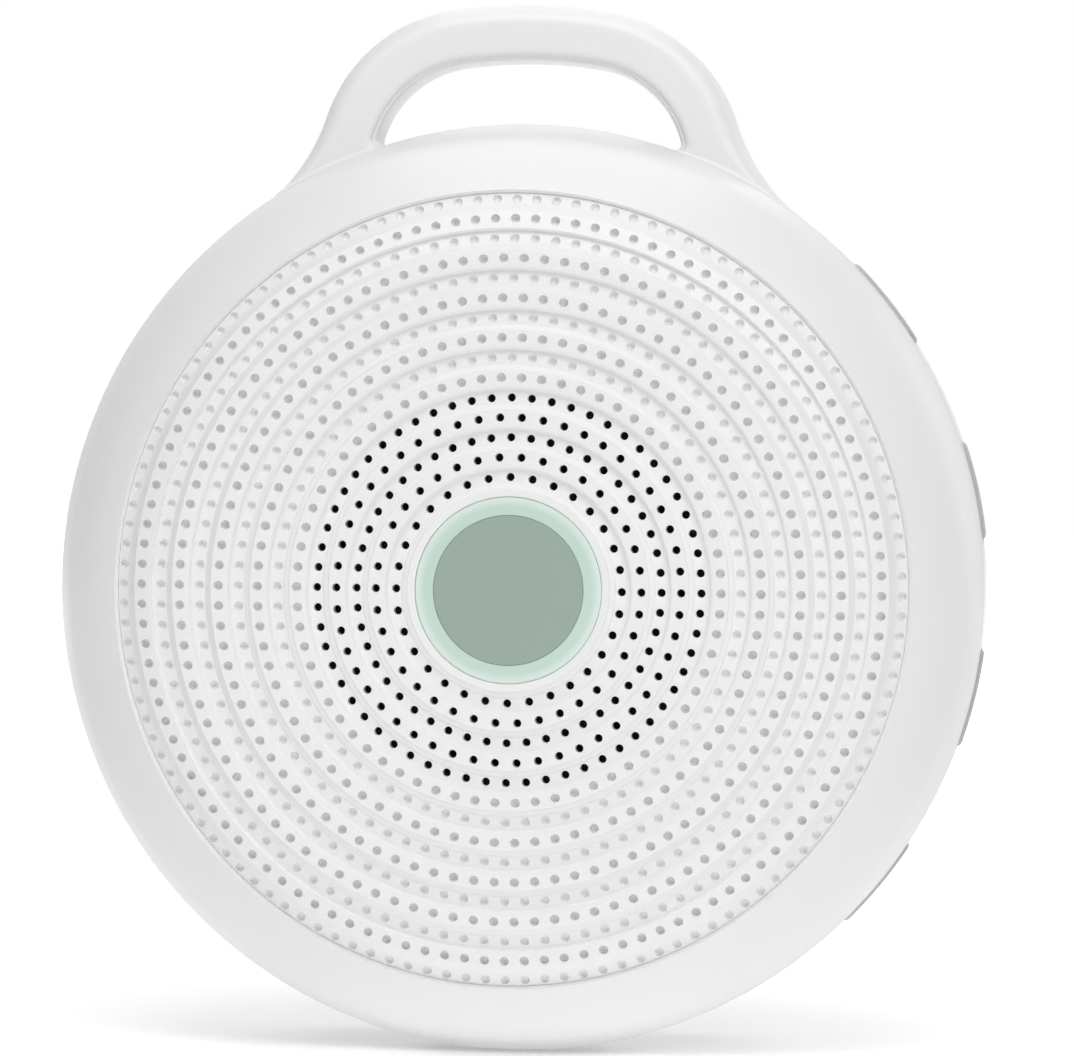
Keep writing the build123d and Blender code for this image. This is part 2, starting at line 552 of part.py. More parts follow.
# ------------------------------------------------------------------ rear housing
def handle_points(inset):
    """Crest, shoulder and side of the handle's outline, moved in from its outside by the inset."""
    rise = HANDLE_CORNER_R + HANDLE_CROWN
    top_r = (HANDLE_CORNER_X ** 2 + rise ** 2 - HANDLE_CORNER_R ** 2) / (2 * HANDLE_CROWN)
    top_y = HANDLE_CORNER_Y + rise - top_r
    share = (top_r - inset) / (top_r - HANDLE_CORNER_R)
    crest = (0, HANDLE_CORNER_Y + rise - inset)
    shoulder = (HANDLE_CORNER_X * share, top_y + (HANDLE_CORNER_Y - top_y) * share)
    side = (HANDLE_CORNER_X + HANDLE_CORNER_R - inset, HANDLE_CORNER_Y)
    return crest, shoulder, side


def handle_flare():
    """Centre of the right flare, where it leaves the drum and where it meets the corner arc."""
    far = HANDLE_CORNER_R + HANDLE_FLARE_R
    reach = BODY_R + HANDLE_FLARE_R
    corner = hypot(HANDLE_CORNER_X, HANDLE_CORNER_Y)
    lean = degrees(acos((corner ** 2 + reach ** 2 - far ** 2) / (2 * corner * reach)))
    angle = degrees(acos(HANDLE_CORNER_X / corner)) - lean
    centre, foot = polar(reach, angle), polar(BODY_R, angle)
    share = HANDLE_CORNER_R / far
    hip = (HANDLE_CORNER_X + (centre[0] - HANDLE_CORNER_X) * share,
           HANDLE_CORNER_Y + (centre[1] - HANDLE_CORNER_Y) * share)
    return centre, foot, hip


def arc_between(centre, radius, start, end):
    """Short arc about a centre from one point to another."""
    mid = ((start[0] + end[0]) / 2 - centre[0], (start[1] + end[1]) / 2 - centre[1])
    scale = radius / hypot(*mid)
    return ThreePointArc(start, (centre[0] + mid[0] * scale, centre[1] + mid[1] * scale), end)


def flip(point):
    return (-point[0], point[1])


def both_sides(edges):
    """The right half's edges and their mirror images."""
    return edges + [mirror(edge, Plane.YZ) for edge in edges]


def carry_handle():
    """Flat-topped loop whose legs flare into the drum, with rounded edges front and back."""
    corner = (HANDLE_CORNER_X, HANDLE_CORNER_Y)
    flare, foot, hip = handle_flare()
    crest, shoulder, _ = handle_points(0)
    base = (foot[0], HANDLE_CORNER_Y - 2 * HANDLE_BAR)
    outer = make_face(both_sides([arc_between(flare, HANDLE_FLARE_R, foot, hip),
                                  arc_between(corner, HANDLE_CORNER_R, hip, shoulder), Line(base, foot)])
                      + [ThreePointArc(shoulder, crest, flip(shoulder)), Line(base, flip(base))])
    crest, shoulder, side = handle_points(HANDLE_BAR)
    base = (side[0], HANDLE_CORNER_Y - 2 * HANDLE_BAR)
    room = make_face(both_sides([arc_between(corner, HANDLE_CORNER_R - HANDLE_BAR, side, shoulder),
                                 Line(base, side)])
                     + [ThreePointArc(shoulder, crest, flip(shoulder)), Line(base, flip(base))])
    opening = room - Circle(BODY_R)
    opening = fillet(opening.vertices().sort_by(Axis.Y)[:2], HANDLE_ROOT_R)
    loop = extrude(outer - opening, HANDLE_DEPTH / 2, both=True)
    loop = fillet(rim_edges(loop, handle_is_outside), HANDLE_OUTER_ROUND)
    loop = fillet(rim_edges(loop, handle_is_inside), HANDLE_INNER_ROUND)
    return Location((0, 0, level(HANDLE_MID_DEPTH))) * loop


def rim_edges(loop, wanted):
    """Edges of the handle's flat front and back that pass a test on their middle point."""
    return loop.edges().filter_by(
        lambda e: abs(abs(e.center().Z) - HANDLE_DEPTH / 2) < TOUCH and wanted(e @ 0.5))


def handle_is_outside(point):
    """On the outside of the legs or of the top, clear of the drum."""
    return hypot(point.X, point.Y) > BODY_R and not handle_is_inside(point)


def handle_is_inside(point):
    """On the edge of the opening, above the drum."""
    reach = hypot(max(0, abs(point.X) - HANDLE_CORNER_X), point.Y - HANDLE_CORNER_Y)
    return hypot(point.X, point.Y) > BODY_R + TOUCH and reach < HANDLE_CORNER_R - HANDLE_BAR / 2


def rim_block(length, width, round_r, inner, outer, angle, depth):
    """Rounded block through the side wall: length along the rim, width front to back."""
    outline = RectangleRounded(width, length, round_r)
    block = extrude(Plane.YZ * Rotation(0, 0, 90) * outline, outer - inner)
    return Location((0, 0, level(depth))) * Rotation(0, 0, angle) * Pos(inner, 0, 0) * block


def rear_housing():
    """Bucket with the side wall, the flat back, the carry handle, bosses and the battery tray."""
    crease = (CREASE_R, BODY_DEPTH - CREASE_DEPTH)
    edge = (BACK_EDGE_R, BODY_DEPTH - BACK_EDGE_DEPTH)
    back_r = BACK_EDGE_R - BACK_ROLL
    mouth = (BODY_R - REAR_STEP, PARTING_DEPTH)
    side = chain(mouth, (BODY_R, WALL_FRONT_DEPTH), (BODY_R, WALL_REAR_DEPTH))
    corner = bulged((BODY_R, WALL_REAR_DEPTH), crease, BAND_BULGE)
    face = bulged_back(crease, edge, BEZEL_BULGE)
    roll = bulged_back(edge, (back_r, BODY_DEPTH), BACK_ROLL_BULGE)
    rebate_r = PARTING_IN_R + FIT
    rebate_depth = PARTING_DEPTH + TONGUE_LENGTH + FIT
    slope = hypot(crease[0] - edge[0], crease[1] - edge[1])
    in_r = WALL * (edge[1] - crease[1]) / slope
    in_d = WALL * (crease[0] - edge[0]) / slope
    inside = chain((back_r, BODY_DEPTH), (0, BODY_DEPTH), (0, FLOOR_DEPTH),
                   (edge[0] - in_r - BACK_EDGE_DEPTH + WALL - in_d, FLOOR_DEPTH),
                   (crease[0] - in_r, crease[1] - in_d), (WALL_IN_R, WALL_REAR_DEPTH),
                   (WALL_IN_R, rebate_depth), (rebate_r, rebate_depth), (rebate_r, PARTING_DEPTH), mouth)
    shell = turned(side, corner, face, roll, inside)
    handle = carry_handle() - ring(WALL_IN_R + WALL / 2, 0, 0, BODY_DEPTH)
    shell += handle
    for spot in [polar(CASE_SCREW_CIRCLE_R, a) for a in CASE_SCREW_ANGLES]:
        shell += ring(BOSS_R, 0, BOSS_MEET_DEPTH, FLOOR_DEPTH + WALL / 2 - BOSS_MEET_DEPTH, spot)
    for spot in [polar(STANDOFF_CIRCLE_R, a) for a in STANDOFF_ANGLES]:
        shell += ring(STANDOFF_R, 0, BOARD_BACK_DEPTH, FLOOR_DEPTH - BOARD_BACK_DEPTH + OVERCUT, spot)
        shell -= ring(SMALL_SCREW_R + SCREW_FIT, 0, BOARD_BACK_DEPTH, SMALL_SCREW_BITE + OVERCUT, spot)
    shell += battery_tray()
    for spot in [polar(CASE_SCREW_CIRCLE_R, a) for a in CASE_SCREW_ANGLES]:
        shell -= ring(CASE_SCREW_R + FIT, 0, BOSS_MEET_DEPTH, BODY_DEPTH, spot)
        shell -= ring(CASE_RECESS_R, 0, CASE_SEAT_DEPTH, BODY_DEPTH, spot)
    for angle in BUTTONS.values():
        shell -= rim_block(BUTTON_LENGTH + 2 * RUN, BUTTON_WIDTH + 2 * RUN, BUTTON_CORNER_R + RUN,
                           WALL_IN_R - OVERCUT, BODY_R + OVERCUT, angle, BUTTON_DEPTH)
    shell -= usb_window()
    drop = AXIS_HEIGHT + BODY_R
    return shell - Pos(0, -AXIS_HEIGHT - drop / 2, 0) * Box(2 * BODY_R, drop, 2 * BODY_DEPTH)


def bulged_back(start, end, bulge):
    """Arc between two (radius, depth) points that swells towards the back."""
    (r0, d0), (r1, d1) = start, end
    length = hypot(r1 - r0, d1 - d0)
    middle = ((r0 + r1) / 2 + bulge * abs(d1 - d0) / length,
              (d0 + d1) / 2 + bulge * abs(r1 - r0) / length)
    return ThreePointArc(*[(r, level(d)) for r, d in (start, middle, end)])


def battery_tray():
    """Low wall round the cell, open where the leads come out."""
    room = (CELL_SIZE[0] + 2 * TRAY_GAP, CELL_SIZE[1] + 2 * TRAY_GAP)
    wall = Rectangle(room[0] + 2 * TRAY_WALL, room[1] + 2 * TRAY_WALL) - Rectangle(*room)
    wall -= Pos(room[0] / 2, 0) * Rectangle(4 * TRAY_WALL, room[1] / 3)
    return Location((0, 0, level(FLOOR_DEPTH + OVERCUT))) * extrude(wall, TRAY_TALL + OVERCUT)


def usb_depth():
    return BOARD_DEPTH - USB_SIZE[2] / 2


def usb_window():
    """Slot for the charging socket and the shallow seat for the plug's grip."""
    slot = rim_block(USB_SIZE[1] + 2 * USB_WINDOW_GAP, USB_SIZE[2] + 2 * USB_WINDOW_GAP, USB_WINDOW_ROUND,
                     WALL_IN_R - OVERCUT, BODY_R + OVERCUT, 180, usb_depth())
    seat = rim_block(USB_RECESS[0], USB_RECESS[1], USB_RECESS_ROUND,
                     BODY_R - USB_RECESS_DEEP, BODY_R + OVERCUT, 180, usb_depth())
    return slot + seat


def case_screws():
    spots = [polar(CASE_SCREW_CIRCLE_R, a) for a in CASE_SCREW_ANGLES]
    length = CASE_SEAT_DEPTH - BOSS_MEET_DEPTH + CASE_SCREW_BITE
    return Compound([screw(CASE_SCREW_R, CASE_HEAD_R, CASE_HEAD_THICK, length, CASE_SEAT_DEPTH, spot,
                           drive_up=False) for spot in spots])


# ------------------------------------------------------------------ board
def main_board():
    """Round board with holes that clear the bosses of the case screws."""
    board = ring(BOARD_R, 0, BOARD_DEPTH, BOARD_THICK)
    for spot in [polar(CASE_SCREW_CIRCLE_R, a) for a in CASE_SCREW_ANGLES]:
        board -= ring(BOSS_R + BOARD_CLEAR, 0, BOARD_DEPTH, BOARD_THICK, spot)
    for spot in [polar(STANDOFF_CIRCLE_R, a) for a in STANDOFF_ANGLES]:
        board -= ring(SMALL_SCREW_R + FIT, 0, BOARD_DEPTH, BOARD_THICK, spot)
    return board


def board_screws():
    spots = [polar(STANDOFF_CIRCLE_R, a) for a in STANDOFF_ANGLES]
    return Compound([screw(SMALL_SCREW_R, SMALL_HEAD_R, SMALL_HEAD_THICK,
                           BOARD_THICK + SMALL_SCREW_BITE, BOARD_DEPTH, spot) for spot in spots])


def usb_socket():
    """Metal shell with its tongue, open towards the side wall."""
    outward = -(WALL_IN_R - USB_SETBACK)
    centre = outward + USB_SIZE[0] / 2
    middle = Location((centre, 0, level(usb_depth())))
    shell = middle * Box(*USB_SIZE)
    room = middle * Pos(-USB_SHELL, 0, 0) * Box(
        USB_SIZE[0], USB_SIZE[1] - 2 * USB_SHELL, USB_SIZE[2] - 2 * USB_SHELL)
    tongue = middle * Pos(USB_SHELL, 0, 0) * Box(USB_SIZE[0] - 2 * USB_SHELL, *USB_TONGUE)
    return shell - room + tongue


def audio_chip():
    return slab(CHIP_SIZE, BOARD_DEPTH - CHIP_SIZE[2], CHIP_PLACE)


def charger_chip():
    return slab(CHARGER_SIZE, BOARD_DEPTH - CHARGER_SIZE[2], CHARGER_PLACE)


def capacitor():
    can = ring(CAPACITOR_R, 0, BOARD_DEPTH - CAPACITOR_TALL, CAPACITOR_TALL, CAPACITOR_PLACE)
    return fillet(can.edges().filter_by(GeomType.CIRCLE).sort_by(Axis.Z)[-1], CAPACITOR_ROUND)


def battery_socket():
    return slab(BATTERY_SOCKET_SIZE, BOARD_BACK_DEPTH, (BATTERY_SOCKET_X, 0))


def battery_cell():
    cell = slab(CELL_SIZE, CELL_FRONT_DEPTH)
    return fillet(cell.edges().filter_by(Axis.Z), CELL_ROUND)


def battery_pad():
    """Foam tape between the cell and the back."""
    return slab((CELL_SIZE[0] - 2 * PAD_INSET, CELL_SIZE[1] - 2 * PAD_INSET, PAD_THICK), CELL_BACK_DEPTH)


# ------------------------------------------------------------------ leads
def lead(points):
    """One insulated lead through (x, y, depth) points, with round bends."""
    path = FilletPolyline(*[(x, y, level(d)) for x, y, d in points], radius=LEAD_BEND)
    return sweep(Plane(origin=path @ 0, z_dir=path % 0) * Circle(LEAD_R), path)


def pair(points):
    """Two leads side by side along X, or along Y where they run along X."""
    half = LEAD_SPACING / 2
    along_x = points[0][0] != points[1][0]
    shift = (0, half) if along_x else (half, 0)
    return Compound([lead([(x + way * shift[0], y + way * shift[1], d) for x, y, d in points])
                     for way in (-1, 1)])


def lamp_leads():
    depth = LAMP_BOARD_DEPTH + LAMP_BOARD_THICK + LEAD_R
    return pair([(0, LED_CIRCLE_R + LED_SIZE[1], depth), (0, LAMP_LEAD_Y, depth),
                 (0, LAMP_LEAD_Y, BOARD_DEPTH)])


def speaker_leads():
    depth = FRAME_BACK_DEPTH + TERMINAL_SIZE[2] + LEAD_R
    return pair([(0, -SPEAKER_R, depth), (0, SPEAKER_LEAD_Y, depth),
                 (0, SPEAKER_LEAD_Y, BOARD_DEPTH)])


def battery_leads():
    depth = (CELL_FRONT_DEPTH + CELL_BACK_DEPTH) / 2
    return pair([(CELL_SIZE[0] / 2, 0, depth), (BATTERY_SOCKET_X, 0, depth),
                 (BATTERY_SOCKET_X, 0, BOARD_BACK_DEPTH + BATTERY_SOCKET_SIZE[2])])


# ------------------------------------------------------------------ buttons
def side_button(angle):
    """Silicone key: rounded cap through the wall, a flange behind it and a stem to the switch."""
    flange_out_r = WALL_IN_R - FLANGE_GAP
    flange_in_r = flange_out_r - BUTTON_FLANGE_THICK
    cap = rim_block(BUTTON_LENGTH, BUTTON_WIDTH, BUTTON_CORNER_R, flange_in_r, BODY_R + OVERCUT,
                    0, BUTTON_DEPTH)
    flange = rim_block(BUTTON_LENGTH + 2 * BUTTON_FLANGE, BUTTON_WIDTH + 2 * BUTTON_FLANGE,
                       BUTTON_CORNER_R + BUTTON_FLANGE, flange_in_r - OVERCUT, BODY_R, 0, BUTTON_DEPTH)
    cap &= ring(BODY_R + BUTTON_PROUD, flange_in_r + FIT, 0, BODY_DEPTH)
    top = cap.faces().filter_by(GeomType.CYLINDER).sort_by(
        lambda f: (f.center() - Vector(0, 0, level(BUTTON_DEPTH))).length)[-1]
    cap = fillet(top.edges(), BUTTON_EDGE_ROUND)
    flange &= ring(flange_out_r, flange_in_r, 0, BODY_DEPTH)
    stem_length = flange_in_r + BUTTON_FLANGE_THICK / 2 - STEM_TIP_R
    stem = Pos(STEM_TIP_R + stem_length / 2, 0, level(BUTTON_DEPTH)) * Rotation(0, 90, 0) * Cylinder(
        STEM_R, stem_length)
    return Rotation(0, 0, angle) * (cap + flange + stem)


def tact_switch(angle):
    """Side-push switch on the edge of the board, with the bore its plunger slides in."""
    size = SWITCH_SIZE
    centre = SWITCH_FACE_R - size[0] / 2
    body = Pos(centre, 0, level(BOARD_DEPTH - size[2] / 2)) * Box(*size)
    bore_deep = PLUNGER_IN + BUTTON_TRAVEL + PLUNGER_STROKE_ROOM
    bore = Pos(SWITCH_FACE_R - bore_deep / 2, 0, level(BUTTON_DEPTH)) * Rotation(0, 90, 0) * Cylinder(
        PLUNGER_R + PLUNGER_FIT, bore_deep)
    return Rotation(0, 0, angle) * (body - bore)


def switch_plunger(angle):
    length = PLUNGER_OUT + PLUNGER_IN
    rod = Pos(STEM_TIP_R - length / 2, 0, level(BUTTON_DEPTH)) * Rotation(0, 90, 0) * Cylinder(
        PLUNGER_R, length)
    return Rotation(0, 0, angle) * rod


PIECES = {
    "front_bezel": front_bezel, "grille_disc": grille_disc, "grille_cloth": grille_cloth,
    "centre_lens": centre_lens, "lens_inlay": lens_inlay, "lamp_board": lamp_board,
    "night_light_leds": night_light_leds, "lamp_leads": lamp_leads,
    "speaker_gasket": speaker_gasket, "speaker_frame": speaker_frame,
    "speaker_surround": speaker_surround, "speaker_magnet": speaker_magnet,
    "speaker_cone": speaker_cone, "dust_cap": dust_cap, "voice_coil": voice_coil,
    "speaker_terminal": speaker_terminal, "speaker_screws": speaker_screws,
    "speaker_leads": speaker_leads, "rear_housing": rear_housing, "case_screws": case_screws,
    "main_board": main_board, "board_screws": board_screws, "usb_socket": usb_socket,
    "audio_chip": audio_chip, "charger_chip": charger_chip, "capacitor": capacitor,
    "battery_socket": battery_socket, "battery_cell": battery_cell, "battery_pad": battery_pad,
    "battery_leads": battery_leads,
}

os.makedirs("parts", exist_ok=True)
for name, make in PIECES.items():
    export_step(place(make()), f"parts/{name}.step")
for name, angle in BUTTONS.items():
    export_step(place(side_button(angle)), f"parts/{name}_button.step")
    export_step(place(tact_switch(angle)), f"parts/{name}_switch.step")
    export_step(place(switch_plunger(angle)), f"parts/{name}_plunger.step")
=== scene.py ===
"""Looks of a round travel sound machine that stands on its rim.

Shapes are worked out in drum coordinates, in millimetres and degrees: radius from the drum's axis,
angle from the button side (+X) over the top, and depth behind the front of the raised lands.
"""

import json
from functools import partial
from math import acos, atan2, cos, degrees, hypot, radians, sin

import bpy
import numpy as np
from mathutils import Matrix, Vector


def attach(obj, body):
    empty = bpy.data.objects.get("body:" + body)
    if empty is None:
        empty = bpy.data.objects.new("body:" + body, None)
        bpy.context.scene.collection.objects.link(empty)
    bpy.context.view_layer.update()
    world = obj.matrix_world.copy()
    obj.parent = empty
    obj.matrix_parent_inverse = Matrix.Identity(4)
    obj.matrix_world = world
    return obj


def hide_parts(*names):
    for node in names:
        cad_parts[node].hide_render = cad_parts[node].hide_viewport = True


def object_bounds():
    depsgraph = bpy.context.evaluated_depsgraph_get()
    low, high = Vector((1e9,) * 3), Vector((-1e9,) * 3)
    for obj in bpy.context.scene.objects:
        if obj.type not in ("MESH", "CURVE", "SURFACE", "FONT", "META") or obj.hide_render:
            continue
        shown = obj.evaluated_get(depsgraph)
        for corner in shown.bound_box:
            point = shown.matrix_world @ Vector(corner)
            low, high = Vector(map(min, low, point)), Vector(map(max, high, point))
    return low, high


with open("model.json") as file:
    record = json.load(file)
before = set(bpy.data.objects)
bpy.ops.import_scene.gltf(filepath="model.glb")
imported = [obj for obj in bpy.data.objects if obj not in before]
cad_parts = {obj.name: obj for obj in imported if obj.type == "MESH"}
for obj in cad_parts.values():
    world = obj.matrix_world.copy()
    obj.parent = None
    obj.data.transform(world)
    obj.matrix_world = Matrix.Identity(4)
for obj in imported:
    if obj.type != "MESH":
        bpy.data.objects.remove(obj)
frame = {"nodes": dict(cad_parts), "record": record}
cad_box = [list(corner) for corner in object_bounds()]

# ---------- camera
CAMERA_PLACE = (0.05965, -0.68682, 0.05956)
CAMERA_TARGET = (0.00105, 0.0, 0.05060)
CAMERA_ROLL = 0.879             # degrees, the camera's top tips to the left
CAMERA_LENS, CAMERA_SENSOR = 235.91, 36.0    # millimetres
CAMERA_NEAR = 0.01

# ---------- drum, in millimetres
MM = 0.001
AXIS_HEIGHT = 44.85
BODY_DEPTH = 38.0
FRONT = BODY_DEPTH / 2
BODY_R, WALL = 45.0, 2.0
WALL_IN_R = BODY_R - WALL
BAND_FRONT, BAND_MIDDLE, BAND_REAR = 13.6, 19.0, 24.4    # straight side wall
WALL_ROWS = 9                   # circles of corners on it
TURN = np.arange(360.0)         # degrees round the drum
SHARP_ANGLE = 40                # degrees, edges that turn more stay sharp

# the bezel's inner lip: radius of its foot, depth of its top, width, how far the foot lies behind the top,
# and the share of that at which the corner of its curve lies
LIP_R, LIP_DEPTH, LIP_WIDE, LIP_RISE, LIP_HIP = 38.0, 3.34, 0.33, 0.44, 0.42
CREASE_R, CREASE_DEPTH, CREASE_REACH = 43.7, 9.3, 0.3
PARTING_R, PARTING_DEPTH = 44.85, 13.0
BEZEL_SWELL, BAND_SWELL = 0.48, 0.06
TONGUE_R, TONGUE_THICK, TONGUE_END = 43.5, 1.3, 14.4
LEDGE_R, LEDGE_FRONT, LEDGE_BACK = 36.3, 5.3, 6.8
BEZEL_IN_R, BEZEL_IN_DEPTH = 38.93, 10.6
BACK_EDGE_R, BACK_EDGE_DEPTH, BACK_PLATE_R = 37.3, 36.5, 35.7
BACK_EDGE_SWELL = 0.25
LIP_STEPS, FACE_STEPS, BAND_STEPS, EDGE_STEPS = 6, 30, 20, 9    # points along parts of a profile
MOUTH_R, REBATE_R, REBATE_DEPTH = 44.8, 43.6, 14.5
FLOOR_DEPTH = BODY_DEPTH - WALL
INNER_CREASE, INNER_EDGE = (42.15, 27.43), (34.99, FLOOR_DEPTH)

# ---------- grille
ROW_COUNTS = (32, 38, 48, 50, 60, 66, 72, 78, 84, 90, 96, 102, 108, 116, 124)
LAST_ROW = len(ROW_COUNTS) - 1
OPEN_ROWS = 5
FIRST_ROW_R, ROW_PITCH = 10.8, 1.9
GRILLE_R = 38.0
LAND_STEP, LAND_TILT = 0.55, 0.12    # the step, and how fast the lower lands fall away outwards
FLANK_LEAN = 0.06               # the raised lands are the wider ones by twice the lean
# slopes on the inside of the even and of the odd rows: half their width, and how far their gentle ends
# fall; and the share of the half width that the steep middle takes up
FLANK_HALVES, FLANK_EASES = (0.3, 0.13), (0.16, 0.03)
FLANK_CORE = 0.7
GRILLE_BACK = 2.15
DOME_START_R, DOME_CURVE = 19.35, 0.0046
EDGE_START_R, EDGE_CURVE = 31.4, 0.035
HOLE_R = 0.405
EDGE_ROUND, EYE_ROUND = 0.03, 0.06
# rings of each hole from its edge inwards: radius and how far it is sunk; radius 0 is the bottom
HOLE_RINGS = ((0.46, 0.0), (0.43, 0.015), (HOLE_R, 0.06))
SHALLOW_DIMPLE = ((0.46, 0.0), (0.44, 0.06), (0.36, 0.36), (0.2, 0.54), (0, 0.6))
DEEP_DIMPLE = ((0.47, 0.0), (0.44, 0.06), (0.41, 0.5), (0.32, 0.73), (0, 0.87))
DIMPLES = (SHALLOW_DIMPLE, DEEP_DIMPLE)      # in the even and in the odd rows
SIDE_STEPS = 3                  # mesh steps along each side of a hole's cell
CELL_CORNER = 225               # where the corners round a hole start, in degrees from the row's way
EYE_R, EYE_RING_R, EYE_TUBE_R, EYE_DEPTH = 8.95, 9.95, 10.0, 5.4
SHELF_R, SHELF_FRONT, SHELF_BACK = 7.85, 1.85, 2.85
RIB_R, RIB_IN_R, RIB_DEPTH = 22.3, 20.7, 6.2
BACK_RADII = (LEDGE_R, 34.0, EDGE_START_R, 28.0, 25.0)    # circles on the back of the dome

# ---------- lens
LENS_R, LENS_CROWN, LENS_SET_BACK, LENS_BACK, LENS_ROUND = 8.93, 0.25, 0.1, 1.85, 0.14
LENS_RIM_STEPS, LENS_ROUND_STEPS, LENS_ROUND_TURN = 8, 4, 60     # the last in degrees
# painted highlight on the lens's rounded edge
EDGE_HIGHLIGHT_RADII = (7.9, 8.75)          # radii between which the lens pales
INLAY_R, INLAY_FIT, INLAY_THICK, INLAY_ROUND, INLAY_STEPS = 7.2, 0.03, 0.3, 0.05, 10

# ---------- handle
HANDLE_CORNER, HANDLE_CORNER_R = (5.2, 40.9), 15.5
HANDLE_BAR, HANDLE_HALF_DEPTH, HANDLE_CROWN = 5.4, 4.75, 0.4
HANDLE_FLARE_R, HANDLE_ROOT_R = 19.0, 0.7
TOP_STEPS, CORNER_STEPS, FOOT_STEPS, SECTION_STEPS = 10, 26, 20, 10
ROOT_FILLET, ROOT_ANGLES = 0.5, (56.5, 71.5)
ROOT_STEPS = (25, 9)            # corners along and across the fillet
ROOT_SUNK = 0.1                 # how far the fillet reaches into the wall and the foot
ROOT_END = 0.002                # share of the fillet's length that its pointed ends leave out
# section of the loop: millimetres past its inner line (towards the outer one) and behind its middle. From
# the back face a roll, the seam rib that stands into the opening, the step in front and the front roll.
HANDLE_OUTER_ROUND = 2.2
RIB_OUT, RIB_STEP, RIB_FRONT = -0.25, 0.35, -4.15
SEAM_RIB = ((0.0, -0.8), (0.03, -1.8), (0.1, -2.8), (0.18, -3.6), (0.26, RIB_FRONT + 0.12),
            (0.36, RIB_FRONT))  # past RIB_OUT, and behind the middle
STEP_SOFT = (0.04, 0.05)
INNER_ROLL, FRONT_ROLL_DEEP, REAR_ROLL_DEEP = 0.9, 0.5, 4.4

# ---------- buttons and openings
BUTTONS = {"sound": 39, "volume_up": 13, "volume_down": -13, "light": -39}
BUTTON_HALF, BUTTON_CORNER = (4.85, 3.1), 1.6
BUTTON_TOP_R, BUTTON_ROUND, BUTTON_ROUND_STEPS = 45.3, 0.4, 6
BUTTON_STEPS = (14, 10)         # corners along and across a button's outline
CAP_SHARES = (0.8, 0.55, 0.3)   # rings on its face, as shares of the outline
FLANGE_GROW, FLANGE_FRONT_R, FLANGE_BACK_R = 0.9, 42.85, 41.45
STEM_R, STEM_TIP_R = 1.6, 40.2
RUN = 0.2
USB_ANGLE, USB_DEPTH = 180, 20.15
USB_SEAT_HALF, USB_SEAT_CORNER, USB_SEAT_DEEP = (5.75, 3.75), 2.5, 0.9
USB_SLOT_HALF, USB_SLOT_CORNER = (4.25, 1.85), 1.2
SCREW_CIRCLE_R, SCREW_ANGLES = 32.4, (60, 120, 240, 300)
RECESS_R, RECESS_DEPTH = 2.6, 31.0
PLATE_ROWS = (35.7, 34.9, 34.1, 33.3, 32.4, 31.5, 30.7, 29.9, 29.1)    # across the screw recesses
EDGE_SOFT = 0.15                # rounding round the openings
# degrees to each side that are left out of the grid for each opening
BLOCK_HALF, USB_BLOCK_HALF, RECESS_BLOCK_HALF = 8, 9, 6
BOSS_R, BOSS_BORE_R, BOSS_FRONT = 3.1, 1.22, 19.4
POST_CIRCLE_R, POST_R, POST_BORE_R, POST_BACK = 24.6, 2.0, 0.92, 9.3
POST_ANGLES = (45, 135, 225, 315)
POST_TURN = 15                  # degrees between the corners round a post or boss
STANDOFF_CIRCLE_R, STANDOFF_ANGLES, STANDOFF_R, STANDOFF_FRONT = 31.0, (75, 195, 315), 2.6, 23.1
TRAY_HALF, TRAY_WALL, TRAY_FRONT = (21.5, 16.5), 1.2, 32.0
TRAY_GAP = 1 / 3                # share of the tray's side that is left open for the leads


# ---------- surfaces
def spot(radius, angle, depth):
    """World place, in metres, of drum coordinates: out along the radius at the angle, back by the depth."""
    radius, angle, depth = np.broadcast_arrays(radius, np.radians(angle), depth)
    across, up = radius * np.cos(angle), AXIS_HEIGHT + radius * np.sin(angle)
    return np.stack([across, depth - FRONT, up], -1) * MM


def square_spot(out, side, depth, angle=0.0):
    """World place of lengths from the drum's axis: out along the radius at the angle, and square to it."""
    return spot(np.hypot(out, side), angle + np.degrees(np.arctan2(side, out)), depth)


def quarter_turn(steps):
    """Angles of a quarter turn, in radians and evenly spaced."""
    return np.radians(np.linspace(0, 90, steps))


